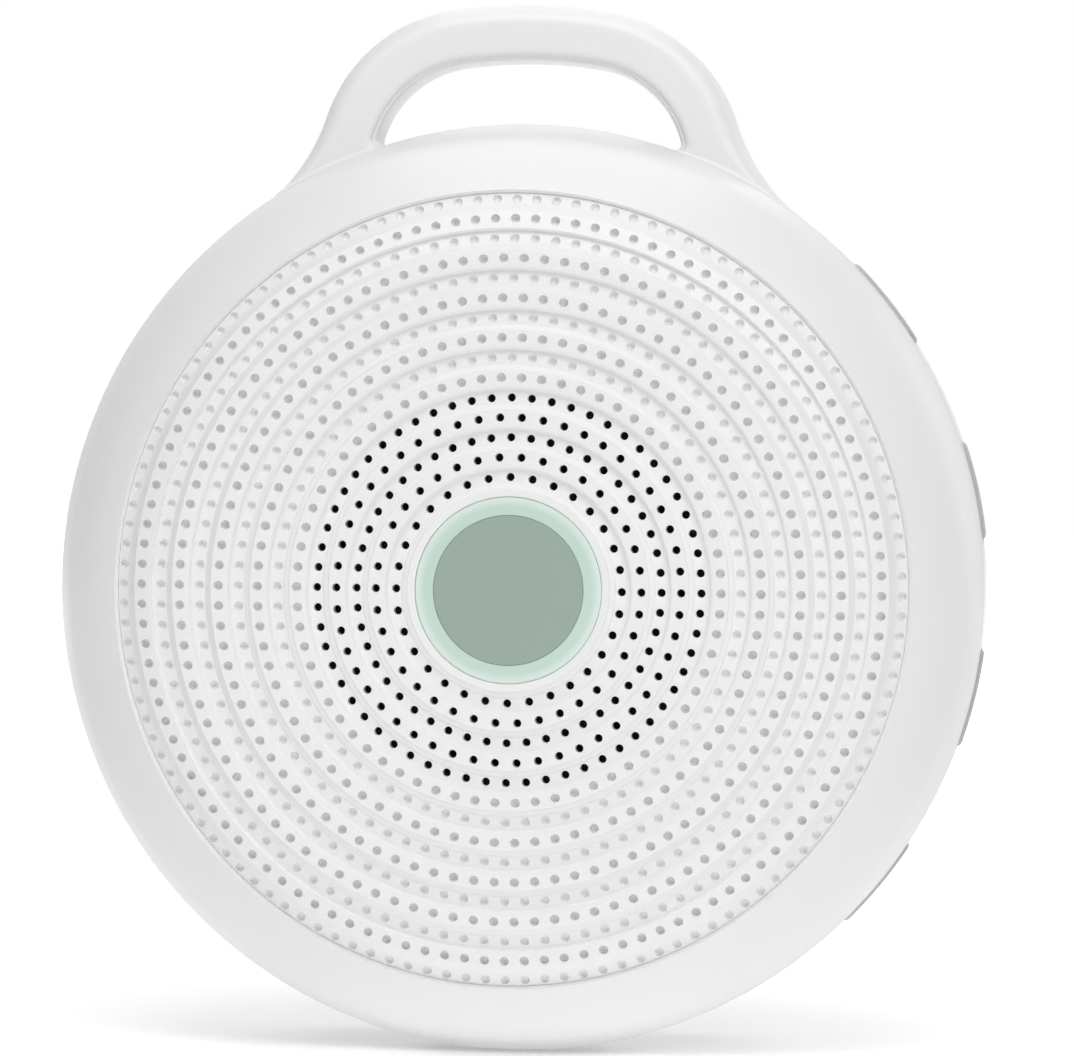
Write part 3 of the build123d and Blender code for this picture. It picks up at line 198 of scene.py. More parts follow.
class Sheet:
    """Growing surface: corner places, and faces as rows of corner numbers."""

    def __init__(self):
        self.points, self.faces, self.total = [], [], 0

    def add(self, places):
        """Takes an array of places and gives back their corner numbers in the same layout."""
        rows = places.reshape(-1, 3)
        self.points.append(rows)
        self.total += len(rows)
        return np.arange(self.total - len(rows), self.total).reshape(places.shape[:-1])

    def strip(self, first, second):
        """Quads between loops of equally many corners, on the last axis."""
        quads = np.stack([first, np.roll(first, -1, -1), np.roll(second, -1, -1), second], -1)
        self.faces.append(quads.reshape(-1, 4))

    def fan(self, loop, pole):
        """Triangles from each loop to its own pole."""
        pole = np.broadcast_to(np.asarray(pole)[..., None], loop.shape)
        self.faces.append(np.stack([loop, np.roll(loop, -1, -1), pole], -1).reshape(-1, 3))

    def skin(self, loops, first_pole=None, last_pole=None, wrapped=False):
        """Joins each loop of places to the next, and closes an end with a pole or the last to the first."""
        rows = self.add(loops)
        for first, second in zip(rows[:-1], rows[1:]):
            self.strip(first, second)
        if first_pole is not None:
            self.fan(rows[0][::-1], self.add(first_pole))
        if last_pole is not None:
            self.fan(rows[-1], self.add(last_pole))
        if wrapped:
            self.strip(rows[-1], rows[0])
        return self

    def zipper(self, first, first_angles, second, second_angles):
        """Triangles between two circles with different numbers of corners: in order of angle, each corner
        makes one with the corner before it on its own circle and the latest one of the other circle."""
        order = np.argsort(np.concatenate([first_angles, second_angles]), kind="stable")
        of_first = order < len(first)
        last_first = first[(np.cumsum(of_first) - 1) % len(first)]
        last_second = second[(np.cumsum(~of_first) - 1) % len(second)]
        before = np.where(of_first, np.roll(last_first, 1), last_first)
        after = np.where(of_first, last_first, last_second)
        third = np.where(of_first, last_second, np.roll(last_second, 1))
        self.faces.append(np.column_stack([before, after, third]))

    def closed(self):
        """Points and faces, with the faces turned so that they enclose a positive volume."""
        points = np.vstack(self.points)
        volume = 0.0
        for rows in self.faces:
            for k in range(1, rows.shape[1] - 1):
                a, b, c = (points[rows[:, i]] for i in (0, k, k + 1))
                volume += np.einsum("ij,ij->", a, np.cross(b, c))
        return points, self.faces if volume > 0 else [rows[:, ::-1] for rows in self.faces]


def turned(profile):
    """Profile of (radius, depth) points carried round the drum's axis. Where it meets the axis it ends in
    a pole, and a profile that stays off the axis closes on itself."""
    profile = np.asarray(profile, float)
    off = profile[:, 0] > 0
    poles = [None if off[end] else spot(0.0, 0.0, profile[end, 1]) for end in (0, -1)]
    return Sheet().skin(spot(profile[off, :1], TURN, profile[off, 1:]), *poles, wrapped=off.all())


def tubes(radius, angles, outer, inner, front, back):
    """Round posts on a circle of the drum, each with a bore: four circles joined in a ring."""
    turn = np.radians(np.arange(0, 360, POST_TURN))
    sizes = np.array([[outer, front], [outer, back], [inner, back], [inner, front]])
    x, y = sizes[:, :1] * np.cos(turn), sizes[:, :1] * np.sin(turn)
    return [Sheet().skin(square_spot(radius * cos(radians(angle)) + x, radius * sin(radians(angle)) + y,
                                     sizes[:, 1:]), wrapped=True) for angle in angles]


def piece(name, sheets, node, slot, body="housing"):
    """Object made of closed surfaces, kept inside the solids' box, that stands in for a node. Sharp edges
    stay sharp, and the rest is shaded smooth with its large faces weighing most."""
    points, faces, base = [], [], 0
    for sheet in sheets:
        sheet_points, sheet_faces = sheet.closed()
        points.append(sheet_points)
        faces += [row for rows in sheet_faces for row in (rows + base).tolist()]
        base += len(sheet_points)
    mesh = bpy.data.meshes.new(name)
    mesh.from_pydata(np.clip(np.vstack(points), *cad_box).tolist(), [], faces)
    mesh.polygons.foreach_set("use_smooth", np.ones(len(mesh.polygons), bool))
    mesh.set_sharp_from_angle(angle=radians(SHARP_ANGLE))
    mesh.materials.append(MATERIALS[slot])
    obj = bpy.data.objects.new(name, mesh)
    bpy.context.scene.collection.objects.link(obj)
    obj.modifiers.new("weighted", "WEIGHTED_NORMAL").keep_sharp = True
    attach(obj, body)
    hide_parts(node)


# ---------- profiles
def drawn(start, corner, end, share):
    """Quadratic curve from start to end, drawn towards the corner: the three are weighed by the square of
    what is left of the way, twice that times the share, and the square of the share."""
    return (1 - share) ** 2 * start + 2 * share * (1 - share) * np.array(corner) + share ** 2 * end


def swell(start, end, bulge, steps):
    """Profile from one point to another, pushed out from the straight chord by a parabola."""
    share = np.linspace(0, 1, steps)[:, None]
    start, along = np.array(start, float), np.subtract(end, start)
    across = np.array([along[1], -along[0]]) / np.hypot(*along)
    return start + share * along + 4 * share * (1 - share) * bulge * across


def eased(profile, corner, reach):
    """The profile with one corner rounded: its points within reach of the corner give way to a curve that
    starts and ends on the profile and is drawn towards the corner."""
    near = np.flatnonzero(np.hypot(*(profile - corner).T) < reach)
    share = np.linspace(0, 1, EDGE_STEPS)[1:-1, None]
    curve = drawn(profile[near[0] - 1], corner, profile[near[-1] + 1], share)
    return np.vstack([profile[:near[0]], curve, profile[near[-1] + 1:]])


def bezel_profile():
    """Lip round the grille, cone, soft crease and outer band, then the tongue and the ledge behind."""
    foot, top = np.array((LIP_R, LIP_DEPTH + LIP_RISE)), np.array((LIP_R + LIP_WIDE, LIP_DEPTH))
    hip = (LIP_R + LIP_WIDE / 2, LIP_DEPTH + LIP_RISE * LIP_HIP)
    lip = drawn(foot, hip, top, np.linspace(0, 1, LIP_STEPS)[:, None])
    crease, parting = (CREASE_R, CREASE_DEPTH), (PARTING_R, PARTING_DEPTH)
    face = np.vstack([lip, swell(lip[-1], crease, BEZEL_SWELL, FACE_STEPS)[1:],
                      swell(crease, parting, BAND_SWELL, BAND_STEPS)[1:]])
    tongue_in = TONGUE_R - TONGUE_THICK
    inside = [(TONGUE_R, PARTING_DEPTH), (TONGUE_R, TONGUE_END), (tongue_in, TONGUE_END),
              (tongue_in, BEZEL_IN_DEPTH), (BEZEL_IN_R, LEDGE_BACK), (LEDGE_R, LEDGE_BACK),
              (LEDGE_R, LEDGE_FRONT), (LIP_R, LEDGE_FRONT)]
    return np.vstack([eased(face, crease, CREASE_REACH), inside])


def lens_height(radius):
    """Depth of the lens's dome at a radius: the set-back less the crown, which fades as the square."""
    return LENS_SET_BACK - LENS_CROWN * (1 - (radius / LENS_R) ** 2)


def lens_profile():
    """Seat of the inlay, domed rim, rounded edge, side and flat back."""
    rim = np.linspace(INLAY_R, LENS_R - LENS_ROUND, LENS_RIM_STEPS)
    turn = np.radians(np.linspace(LENS_ROUND_TURN, 0, LENS_ROUND_STEPS))
    centre = (LENS_R - LENS_ROUND, lens_height(LENS_R - LENS_ROUND) + LENS_ROUND)
    edge = np.column_stack([centre[0] + LENS_ROUND * np.cos(turn),
                            centre[1] - LENS_ROUND * np.sin(turn)])
    seat = lens_height(0) + INLAY_THICK
    return np.vstack([[(0, seat), (INLAY_R, seat)], np.column_stack([rim, lens_height(rim)]), edge,
                      [(LENS_R, LENS_BACK), (0, LENS_BACK)]])


def inlay_profile():
    """Round film: crowned face with the lens's dome, a tiny rounded edge and a flat underside."""
    reach = INLAY_R - INLAY_FIT
    face = np.linspace(0, reach - INLAY_ROUND, INLAY_STEPS)
    low = lens_height(0) + INLAY_THICK
    return np.vstack([np.column_stack([face, lens_height(face)]),
                      [(reach, lens_height(reach) + INLAY_ROUND), (reach, low), (0, low)]])


# ---------- grille
def grille_sag(radius):
    """How far the face lies back at a radius: flat in the middle, a parabola outside it, and a faster one
    added near the edge."""
    return (DOME_CURVE * np.maximum(0, radius - DOME_START_R) ** 2
            + EDGE_CURVE * np.maximum(0, radius - EDGE_START_R) ** 2)


def row_radius(row):
    """The first row's radius and a pitch for each row further out."""
    return FIRST_ROW_R + row * ROW_PITCH


def land(row, radius):
    """Depth of a row's face at a radius. Even rows lie a step below the odd rows and the eye's ring, which
    counts as row -1, and fall away outwards in a straight slope."""
    if row % 2:
        return grille_sag(radius)
    return grille_sag(radius) + LAND_STEP + LAND_TILT * (radius - row_radius(row))


def flank(row):
    """Radius of the middle of the slope on the inside of a row."""
    lean = -FLANK_LEAN if row % 2 else FLANK_LEAN
    return row_radius(row - 0.5) + lean if row else EYE_RING_R


def row_angles(row):
    """Angles of the corners round a row: some steps to each hole, and the cells meet midway between."""
    count = ROW_COUNTS[row] * SIDE_STEPS
    return (np.arange(count) - SIDE_STEPS / 2) * 360 / count


def hole_angles(row):
    """Angles of a row's holes: even parts of the turn."""
    return np.arange(ROW_COUNTS[row]) * 360 / ROW_COUNTS[row]


def hole_rings(row, rho, sink, base):
    """Circle of radius rho about every hole of a row, sunk below the base surface: out along the hole's
    own radius by the sine and along the row by the cosine."""
    turn = np.radians(CELL_CORNER + np.arange(4 * SIDE_STEPS) * 90 / SIDE_STEPS)
    out, side = row_radius(row) + rho * np.sin(turn), rho * np.cos(turn)
    return square_spot(out, side, base(np.hypot(out, side)) + sink, hole_angles(row)[:, None])


def cell_edges(sheet, row, base):
    """Corners of a row's ring of cells: the circles inside and outside it, and the loop round each cell."""
    count, step = ROW_COUNTS[row], np.arange(SIDE_STEPS)
    low, high = flank(row) + FLANK_HALVES[row % 2], GRILLE_R - EDGE_ROUND
    if row < LAST_ROW:
        high = flank(row + 1) - FLANK_HALVES[(row + 1) % 2]
    angles = row_angles(row)
    inner, outer = (sheet.add(spot(radius, angles, base(radius))) for radius in (low, high))
    between = np.linspace(low, high, SIDE_STEPS + 1)[1:-1]
    side = sheet.add(spot(between, angles[::SIDE_STEPS, None], base(between)))
    first = np.arange(count)[:, None] * SIDE_STEPS
    last = (first + SIDE_STEPS) % (count * SIDE_STEPS)
    back = (first + SIDE_STEPS - step) % (count * SIDE_STEPS)
    loops = np.hstack([inner[first + step], inner[last], np.roll(side, -1, 0), outer[back],
                       outer[first], side[:, ::-1]])
    return inner, outer, loops


def grille_front(sheet):
    """Rippled face from the eye outwards: each row is a ring of cells with a hole or a dimple in each, and
    a steep step with gentle ends joins it to the row before. Gives back the walls of the open holes and the
    face's first and last circles."""
    walls, first, outer = [], None, None
    for row in range(len(ROW_COUNTS)):
        base, angles = partial(land, row), row_angles(row)
        inner, next_outer, loops = cell_edges(sheet, row, base)
        open_row = row < OPEN_ROWS
        for rho, sink in HOLE_RINGS if open_row else DIMPLES[row % 2]:
            if rho:
                rings = sheet.add(hole_rings(row, rho, sink, base))
                sheet.strip(loops, rings)
                loops = rings
            else:
                middle = row_radius(row)
                sheet.fan(loops, sheet.add(spot(middle, hole_angles(row), base(middle) + sink)))
        if open_row:
            walls.append(loops)
        if first is None:
            outer = first = sheet.add(spot(EYE_RING_R - FLANK_HALVES[0], angles, 0.0))
            last_angles = angles
        core = FLANK_HALVES[row % 2] * FLANK_CORE
        near, far = flank(row) - core, flank(row) + core
        ease = -FLANK_EASES[1] if row % 2 else FLANK_EASES[0]
        start = sheet.add(spot(near, last_angles, land(row - 1, near) + ease))
        end = sheet.add(spot(far, angles, land(row, far) - ease))
        sheet.strip(outer, start)
        sheet.zipper(start, last_angles, end, angles)
        sheet.strip(end, inner)
        outer, last_angles = next_outer, angles
    return walls, first, outer


def circles(sheet, start, angles, profile):
    """Carries (radius, depth) points round at the given angles, starting from a circle that is there."""
    for radius, depth in profile:
        circle = sheet.add(spot(radius, angles, depth))
        sheet.strip(start, circle)
        start = circle
    return start


def grille_sheet():
    """Closed skin of the rippled disc: the face, the rim, the rib for the loudspeaker, the back with the
    mouths of the open holes, and the eye's tube with its shelf."""
    sheet = Sheet()
    walls, first, last = grille_front(sheet)
    angles = row_angles(LAST_ROW)
    back = [(radius, grille_sag(radius) + GRILLE_BACK) for radius in BACK_RADII]
    last = circles(sheet, last, angles, [
        (GRILLE_R, land(LAST_ROW, GRILLE_R) + EDGE_ROUND), (GRILLE_R, LEDGE_FRONT),
        (LEDGE_R, LEDGE_FRONT), *back, (RIB_R, GRILLE_BACK), (RIB_R, RIB_DEPTH),
        (RIB_IN_R, RIB_DEPTH), (RIB_IN_R, GRILLE_BACK)])
    flat = lambda radius: np.full_like(radius, GRILLE_BACK, dtype=float)
    for row in reversed(range(OPEN_ROWS)):
        inner, outer, loops = cell_edges(sheet, row, flat)
        mouths = sheet.add(hole_rings(row, HOLE_R, 0.0, flat))
        sheet.strip(walls[row], mouths)
        sheet.strip(mouths, loops)
        sheet.zipper(last, angles, outer, row_angles(row))
        last, angles = inner, row_angles(row)
    tube_end = circles(sheet, last, angles, [
        (EYE_TUBE_R, GRILLE_BACK), (EYE_TUBE_R, EYE_DEPTH), (EYE_R, EYE_DEPTH), (EYE_R, SHELF_BACK),
        (SHELF_R, SHELF_BACK), (SHELF_R, SHELF_FRONT), (EYE_R, SHELF_FRONT), (EYE_R, EYE_ROUND),
        (EYE_R + EYE_ROUND / 3, EYE_ROUND / 3), (EYE_R + EYE_ROUND, 0.0)])
    sheet.strip(tube_end, first)
    return sheet


# ---------- openings
def square_edge(across, along):
    """Points on the edge of the square from -1 to 1, a number of steps to each side."""
    u, v = np.linspace(-1, 1, across + 1), np.linspace(-1, 1, along + 1)
    sides = (u[:-1], -1), (1, v[:-1]), (u[:0:-1], 1), (-1, v[:0:-1])
    return np.vstack([np.column_stack(np.broadcast_arrays(*side)) for side in sides])


def rounded_outline(edge, half, corner):
    """Rounded rectangle met by each point of the square's edge: what reaches past the inner rectangle of
    the corner centres is drawn in to the corner radius."""
    place = edge * half
    core = np.clip(place, -(np.array(half) - corner), np.array(half) - corner)
    past = place - core
    return core + past * corner / np.hypot(*past.T)[:, None]


def banded(sheet, grid, blocks, inward=False):
    """Faces of a grid of (row, degree) corners, with a block of columns left out round each opening; gives
    the loop of corners round every block."""
    kept = np.ones(len(TURN), bool)
    for middle, half in blocks:
        kept[np.arange(middle - half, middle + half) % len(TURN)] = False
    ahead = np.roll(grid, -1, 1)
    quads = np.stack([grid[:-1], ahead[:-1], ahead[1:], grid[1:]], -1)[:, kept].reshape(-1, 4)
    sheet.faces.append(quads[:, ::-1] if inward else quads)
    loops = []
    for middle, half in blocks:
        block = grid[:, np.arange(middle - half, middle + half + 1) % len(TURN)]
        loops.append(np.concatenate([block[0, :-1], block[:-1, -1], block[-1, :0:-1], block[:0:-1, 0]]))
    return loops


def wall_ring(edge, angle, half, corner, radius, depth):
    """Rounded outline on a cylinder round the drum's axis: its width goes straight across the opening, so
    the angle's sine is width over radius."""
    place = rounded_outline(edge, half, corner)
    return spot(radius, angle + np.degrees(np.arcsin(place[:, 0] / radius)), depth + place[:, 1])


def grown(half, by):
    """Half sizes with the same added to both."""
    return (half[0] + by, half[1] + by)


def button_window(edge, angle):
    """Rings of a button's opening, from the softened outer edge to the inside of the wall."""
    half, corner = grown(BUTTON_HALF, RUN), BUTTON_CORNER + RUN
    steps = ((EDGE_SOFT, 0.0), (EDGE_SOFT / 3, EDGE_SOFT / 3), (0.0, EDGE_SOFT), (0.0, WALL))
    return np.array([wall_ring(edge, angle, grown(half, by), corner + by, BODY_R - sink, BAND_MIDDLE)
                     for by, sink in steps])


def usb_window(edge):
    """Rings of the seat for the plug's grip and of the slot in its floor."""
    seat = [(USB_SEAT_HALF, USB_SEAT_CORNER, by, sink) for by, sink in (
        (EDGE_SOFT, 0.0), (EDGE_SOFT / 3, EDGE_SOFT / 3), (0.0, EDGE_SOFT),
        (0.0, USB_SEAT_DEEP - EDGE_SOFT), (-EDGE_SOFT, USB_SEAT_DEEP))]
    slot = [(USB_SLOT_HALF, USB_SLOT_CORNER, by, sink) for by, sink in (
        (EDGE_SOFT, USB_SEAT_DEEP), (0.0, USB_SEAT_DEEP + EDGE_SOFT), (0.0, WALL))]
    return np.array([
        wall_ring(edge, USB_ANGLE, grown(half, by), corner + by, BODY_R - sink, USB_DEPTH)
        for half, corner, by, sink in seat + slot])


def recess_ring(edge, angle, radius, depth):
    """Circle in the back plate about a case screw, met by the directions of a block's edge."""
    side, inwards = rounded_outline(edge, (radius, radius), radius).T
    return square_spot(SCREW_CIRCLE_R - inwards, side, depth, angle)


def rear_profile():
    """Outer band, soft crease, cone and rolled edge of the rear, from the side wall to the flat back."""
    crease, edge = (CREASE_R, BODY_DEPTH - CREASE_DEPTH), (BACK_EDGE_R, BACK_EDGE_DEPTH)
    plate = (BACK_PLATE_R, BODY_DEPTH)
    profile = np.vstack([swell((BODY_R, BAND_REAR), crease, BAND_SWELL, BAND_STEPS),
                         swell(crease, edge, BEZEL_SWELL, FACE_STEPS)[1:],
                         swell(edge, plate, BACK_EDGE_SWELL, EDGE_STEPS)[1:]])
    return eased(eased(profile, crease, CREASE_REACH), edge, CREASE_REACH)


def drum_sheet():
    """Wall, back and floor of the rear housing with its openings. It runs from the middle of the floor over
    the inside of the wall and its mouth to the outside, and over the back to the middle of the plate."""
    sheet = Sheet()
    blocks = [(angle, BLOCK_HALF) for angle in BUTTONS.values()] + [(USB_ANGLE, USB_BLOCK_HALF)]
    inner, outer = (sheet.add(spot(radius, TURN, np.linspace(front, BAND_REAR, WALL_ROWS)[:, None]))
                    for radius, front in ((WALL_IN_R, REBATE_DEPTH), (BODY_R, BAND_FRONT)))
    inner_loops = banded(sheet, inner, blocks, inward=True)
    outer_loops = banded(sheet, outer, blocks)
    for (angle, half), from_loop, to_loop in zip(blocks, outer_loops, inner_loops):
        edge = square_edge(2 * half, WALL_ROWS - 1)
        rings = sheet.add(usb_window(edge) if angle == USB_ANGLE else button_window(edge, angle))
        for first, second in zip([from_loop, *rings], [*rings, to_loop]):
            sheet.strip(first, second)
    mouth = circles(sheet, inner[0], TURN, [(REBATE_R, REBATE_DEPTH), (REBATE_R, PARTING_DEPTH),
                                            (MOUTH_R, PARTING_DEPTH)])
    sheet.strip(mouth, outer[0])
    radii, depths = np.array([INNER_CREASE, INNER_EDGE]).T[..., None]
    floor = sheet.add(spot(radii, TURN, depths))
    sheet.strip(floor[0], inner[-1])
    sheet.strip(floor[1], floor[0])
    sheet.fan(floor[1][::-1], sheet.add(spot(0.0, 0.0, FLOOR_DEPTH)))
    plate = sheet.add(spot(np.array(PLATE_ROWS)[:, None], TURN, BODY_DEPTH))
    sheet.strip(circles(sheet, outer[-1], TURN, rear_profile()[1:-1]), plate[0])
    screws = [(angle, RECESS_BLOCK_HALF) for angle in SCREW_ANGLES]
    for (angle, half), loop in zip(screws, banded(sheet, plate, screws)):
        edge = square_edge(2 * half, len(PLATE_ROWS) - 1)
        for radius, depth in ((RECESS_R + EDGE_SOFT, BODY_DEPTH), (RECESS_R, BODY_DEPTH - EDGE_SOFT),
                              (RECESS_R, RECESS_DEPTH)):
            ring = sheet.add(recess_ring(edge, angle, radius, depth))
            sheet.strip(loop, ring)
            loop = ring
        sheet.fan(loop, sheet.add(spot(SCREW_CIRCLE_R, angle, RECESS_DEPTH)))
    sheet.fan(plate[-1], sheet.add(spot(0.0, 0.0, BODY_DEPTH)))
    # the lowest line of the wall is flat where the drum stands on it
    sheet.points = [np.maximum(rows, (-np.inf, -np.inf, 0)) for rows in sheet.points]
    return sheet


def tray_sheet():
    """Wall round the battery cell, open at the side where its leads leave: a rectangular section carried
    from one end of the gap round to the other."""
    way = np.array([(1, TRAY_GAP), (1, 1), (-1, 1), (-1, -1), (1, -1), (1, -TRAY_GAP)])
    inner = way * TRAY_HALF
    outer = inner + np.sign(way) * (np.abs(way) == 1) * TRAY_WALL
    x, y = np.stack([inner, outer, outer, inner], 1).transpose(2, 0, 1)
    loops = square_spot(x, y, (TRAY_FRONT, TRAY_FRONT, FLOOR_DEPTH, FLOOR_DEPTH))
    return Sheet().skin(loops, loops[0].mean(0), loops[-1].mean(0))


# ---------- handle
def around(centre, reach, angle):
    """Point, as (x, y) on the drum's face, at a reach from a centre, or a point for each of some angles."""
    turn = np.radians(angle)
    return np.stack([centre[0] + reach * np.cos(turn), centre[1] + reach * np.sin(turn)], -1)


def bearing(start, end):
    """Angle of the way from one point to another."""
    return degrees(atan2(end[1] - start[1], end[0] - start[0]))


def resting_circle(size, second_reach):
    """Circle of a size that touches the side wall from outside, on the right, with its centre at a reach
    from the handle's corner centre. The cosine rule gives the angle of its centre from the drum's axis.
    Gives that, the centre, and the angle at which it is seen from the corner centre."""
    corner, reach = hypot(*HANDLE_CORNER), BODY_R + size
    lean = acos((corner ** 2 + reach ** 2 - second_reach ** 2) / (2 * corner * reach))
    angle = degrees(atan2(HANDLE_CORNER[1], HANDLE_CORNER[0]) - lean)
    centre = around((0, 0), reach, angle)
    return angle, centre, bearing(HANDLE_CORNER, centre)


def handle_lines():
    """Outer and inner lines of the right half of the loop, from the middle of the top down into the drum:
    a shallow top arc, the corner arc, then the flare outside and the root's rounding inside."""
    rise = HANDLE_CORNER_R + HANDLE_CROWN
    top_r = (HANDLE_CORNER[0] ** 2 + rise ** 2 - HANDLE_CORNER_R ** 2) / (2 * HANDLE_CROWN)
    top = (0, HANDLE_CORNER[1] + rise - top_r)
    shoulder = bearing(top, HANDLE_CORNER)
    sink = (BODY_R - WALL / 2) / BODY_R
    lines = []
    for inside, size, way in ((0.0, HANDLE_FLARE_R, 1), (HANDLE_BAR, HANDLE_ROOT_R, -1)):
        corner_r = HANDLE_CORNER_R - inside
        foot, centre, hip = resting_circle(size, corner_r + way * size)
        line = np.vstack([
            around(top, top_r - inside, np.linspace(90, shoulder, TOP_STEPS)),
            around(HANDLE_CORNER, corner_r, np.linspace(shoulder, hip, CORNER_STEPS)[1:]),
            around(centre, size, np.linspace(hip + 90 * (way + 1), foot + 180 * way, FOOT_STEPS)[1:])])
        lines.append(np.vstack([line, line[-1:] * sink]))
    return lines


def handle_section():
    """Closed section of the loop as rows of (side, offset, depth): side 1 is the outer line and 0 the inner
    one, and the offset is along the way from the inner line to the outer one."""
    turn = quarter_turn(SECTION_STEPS)
    rise, fall = np.sin(turn), np.cos(turn)
    size, half = HANDLE_OUTER_ROUND, HANDLE_HALF_DEPTH
    outer = np.column_stack([size * (rise - 1), size * (1 - fall) - half])
    rear = np.column_stack([RIB_OUT + INNER_ROLL * (1 - rise), half - REAR_ROLL_DEEP * (1 - fall)])
    rib = np.array(SEAM_RIB) + (RIB_OUT, 0)
    step = [(RIB_STEP - STEP_SOFT[0], RIB_FRONT), (RIB_STEP, RIB_FRONT - STEP_SOFT[1])]
    front = np.column_stack([RIB_STEP + INNER_ROLL * (1 - fall),
                             -(half - FRONT_ROLL_DEEP) - FRONT_ROLL_DEEP * rise])
    inner = np.vstack([rear, rib, step, front])
    outer = np.vstack([outer, outer[::-1] * (1, -1)])
    return (np.repeat([1.0, 0.0], (len(outer), len(inner))), *np.vstack([outer, inner]).T)


def handle_sheet():
    """Loop swept from foot to foot with its section set between the inner and the outer line."""
    outer, inner = (np.vstack([line[:0:-1] * (-1, 1), line]) for line in handle_lines())
    side, offset, depth = (part[:, None] for part in handle_section())
    across = outer - inner
    unit = across / np.hypot(*across.T)[:, None]
    places = (inner + (side[..., None] * across + offset[..., None] * unit)).transpose(1, 0, 2)
    loops = square_spot(*places.transpose(2, 0, 1), BAND_MIDDLE + depth.T)
    return Sheet().skin(loops, loops[0].mean(0), loops[-1].mean(0))


def root_fillet(start, end):
    """Hollow strip in the corner between the side wall and the front of a foot of the handle, from one
    angle to another: a quarter circle of a radius that grows from nothing as the root of a sine and fades
    again, closed at its back."""
    share = np.linspace(0, 1, ROOT_STEPS[0])[:, None]
    size = ROOT_FILLET * np.sqrt(np.sin(np.pi * np.clip(share, ROOT_END, 1 - ROOT_END)))
    turn = quarter_turn(ROOT_STEPS[1])
    face = BAND_MIDDLE - HANDLE_HALF_DEPTH
    radius = np.hstack([BODY_R + size * (1 - np.cos(turn)), BODY_R + size,
                        np.full_like(size, BODY_R - ROOT_SUNK)])
    behind = np.full_like(size, face + ROOT_SUNK)
    depth = np.hstack([face - size * (1 - np.sin(turn)), behind, behind])
    loops = spot(radius, start + (end - start) * share, depth)
    return Sheet().skin(loops, loops[0].mean(0), loops[-1].mean(0))


# ---------- buttons
def button_sheet(angle):
    """Key from the tip of its stem to its crown: circles of the stem, the flange's outline, the cap's
    straight side, its rounded edge as a quarter turn, and rings that shrink over the face to the middle."""
    edge, turn = square_edge(*BUTTON_STEPS), quarter_turn(BUTTON_ROUND_STEPS)
    rings = [((STEM_R, STEM_R), STEM_R, radius) for radius in (STEM_TIP_R, FLANGE_BACK_R)]
    rings += [(grown(BUTTON_HALF, FLANGE_GROW), BUTTON_CORNER + FLANGE_GROW, radius)
              for radius in (FLANGE_BACK_R, FLANGE_FRONT_R)]
    rings += [(BUTTON_HALF, BUTTON_CORNER, FLANGE_FRONT_R)]
    rings += [(grown(BUTTON_HALF, -BUTTON_ROUND * (1 - c)), BUTTON_CORNER - BUTTON_ROUND * (1 - c),
               BUTTON_TOP_R - BUTTON_ROUND * (1 - s)) for c, s in zip(np.cos(turn), np.sin(turn))]
    half, corner, top = rings[-1]
    rings += [((half[0] * share, half[1] * share), corner * share, top) for share in CAP_SHARES]
    loops = np.array([wall_ring(edge, angle, *ring, BAND_MIDDLE) for ring in rings])
    return Sheet().skin(loops, spot(STEM_TIP_R, angle, BAND_MIDDLE), spot(top, angle, BAND_MIDDLE))


# ---------- materials
GRAIN_DETAIL = 3.0
PATCH_SIZE, SHEEN_SIZE, SHEEN_AMOUNT = 6.0, 2.5, 0.05
WEAVE_WAVES, COIL_WAVES = 3.2, 6.3      # what a wave pattern's scale is divided by, for threads and turns
TRACK_CELLS, TRACK_EDGE = 420.0, (0.03, 0.07)
MATERIALS = {}


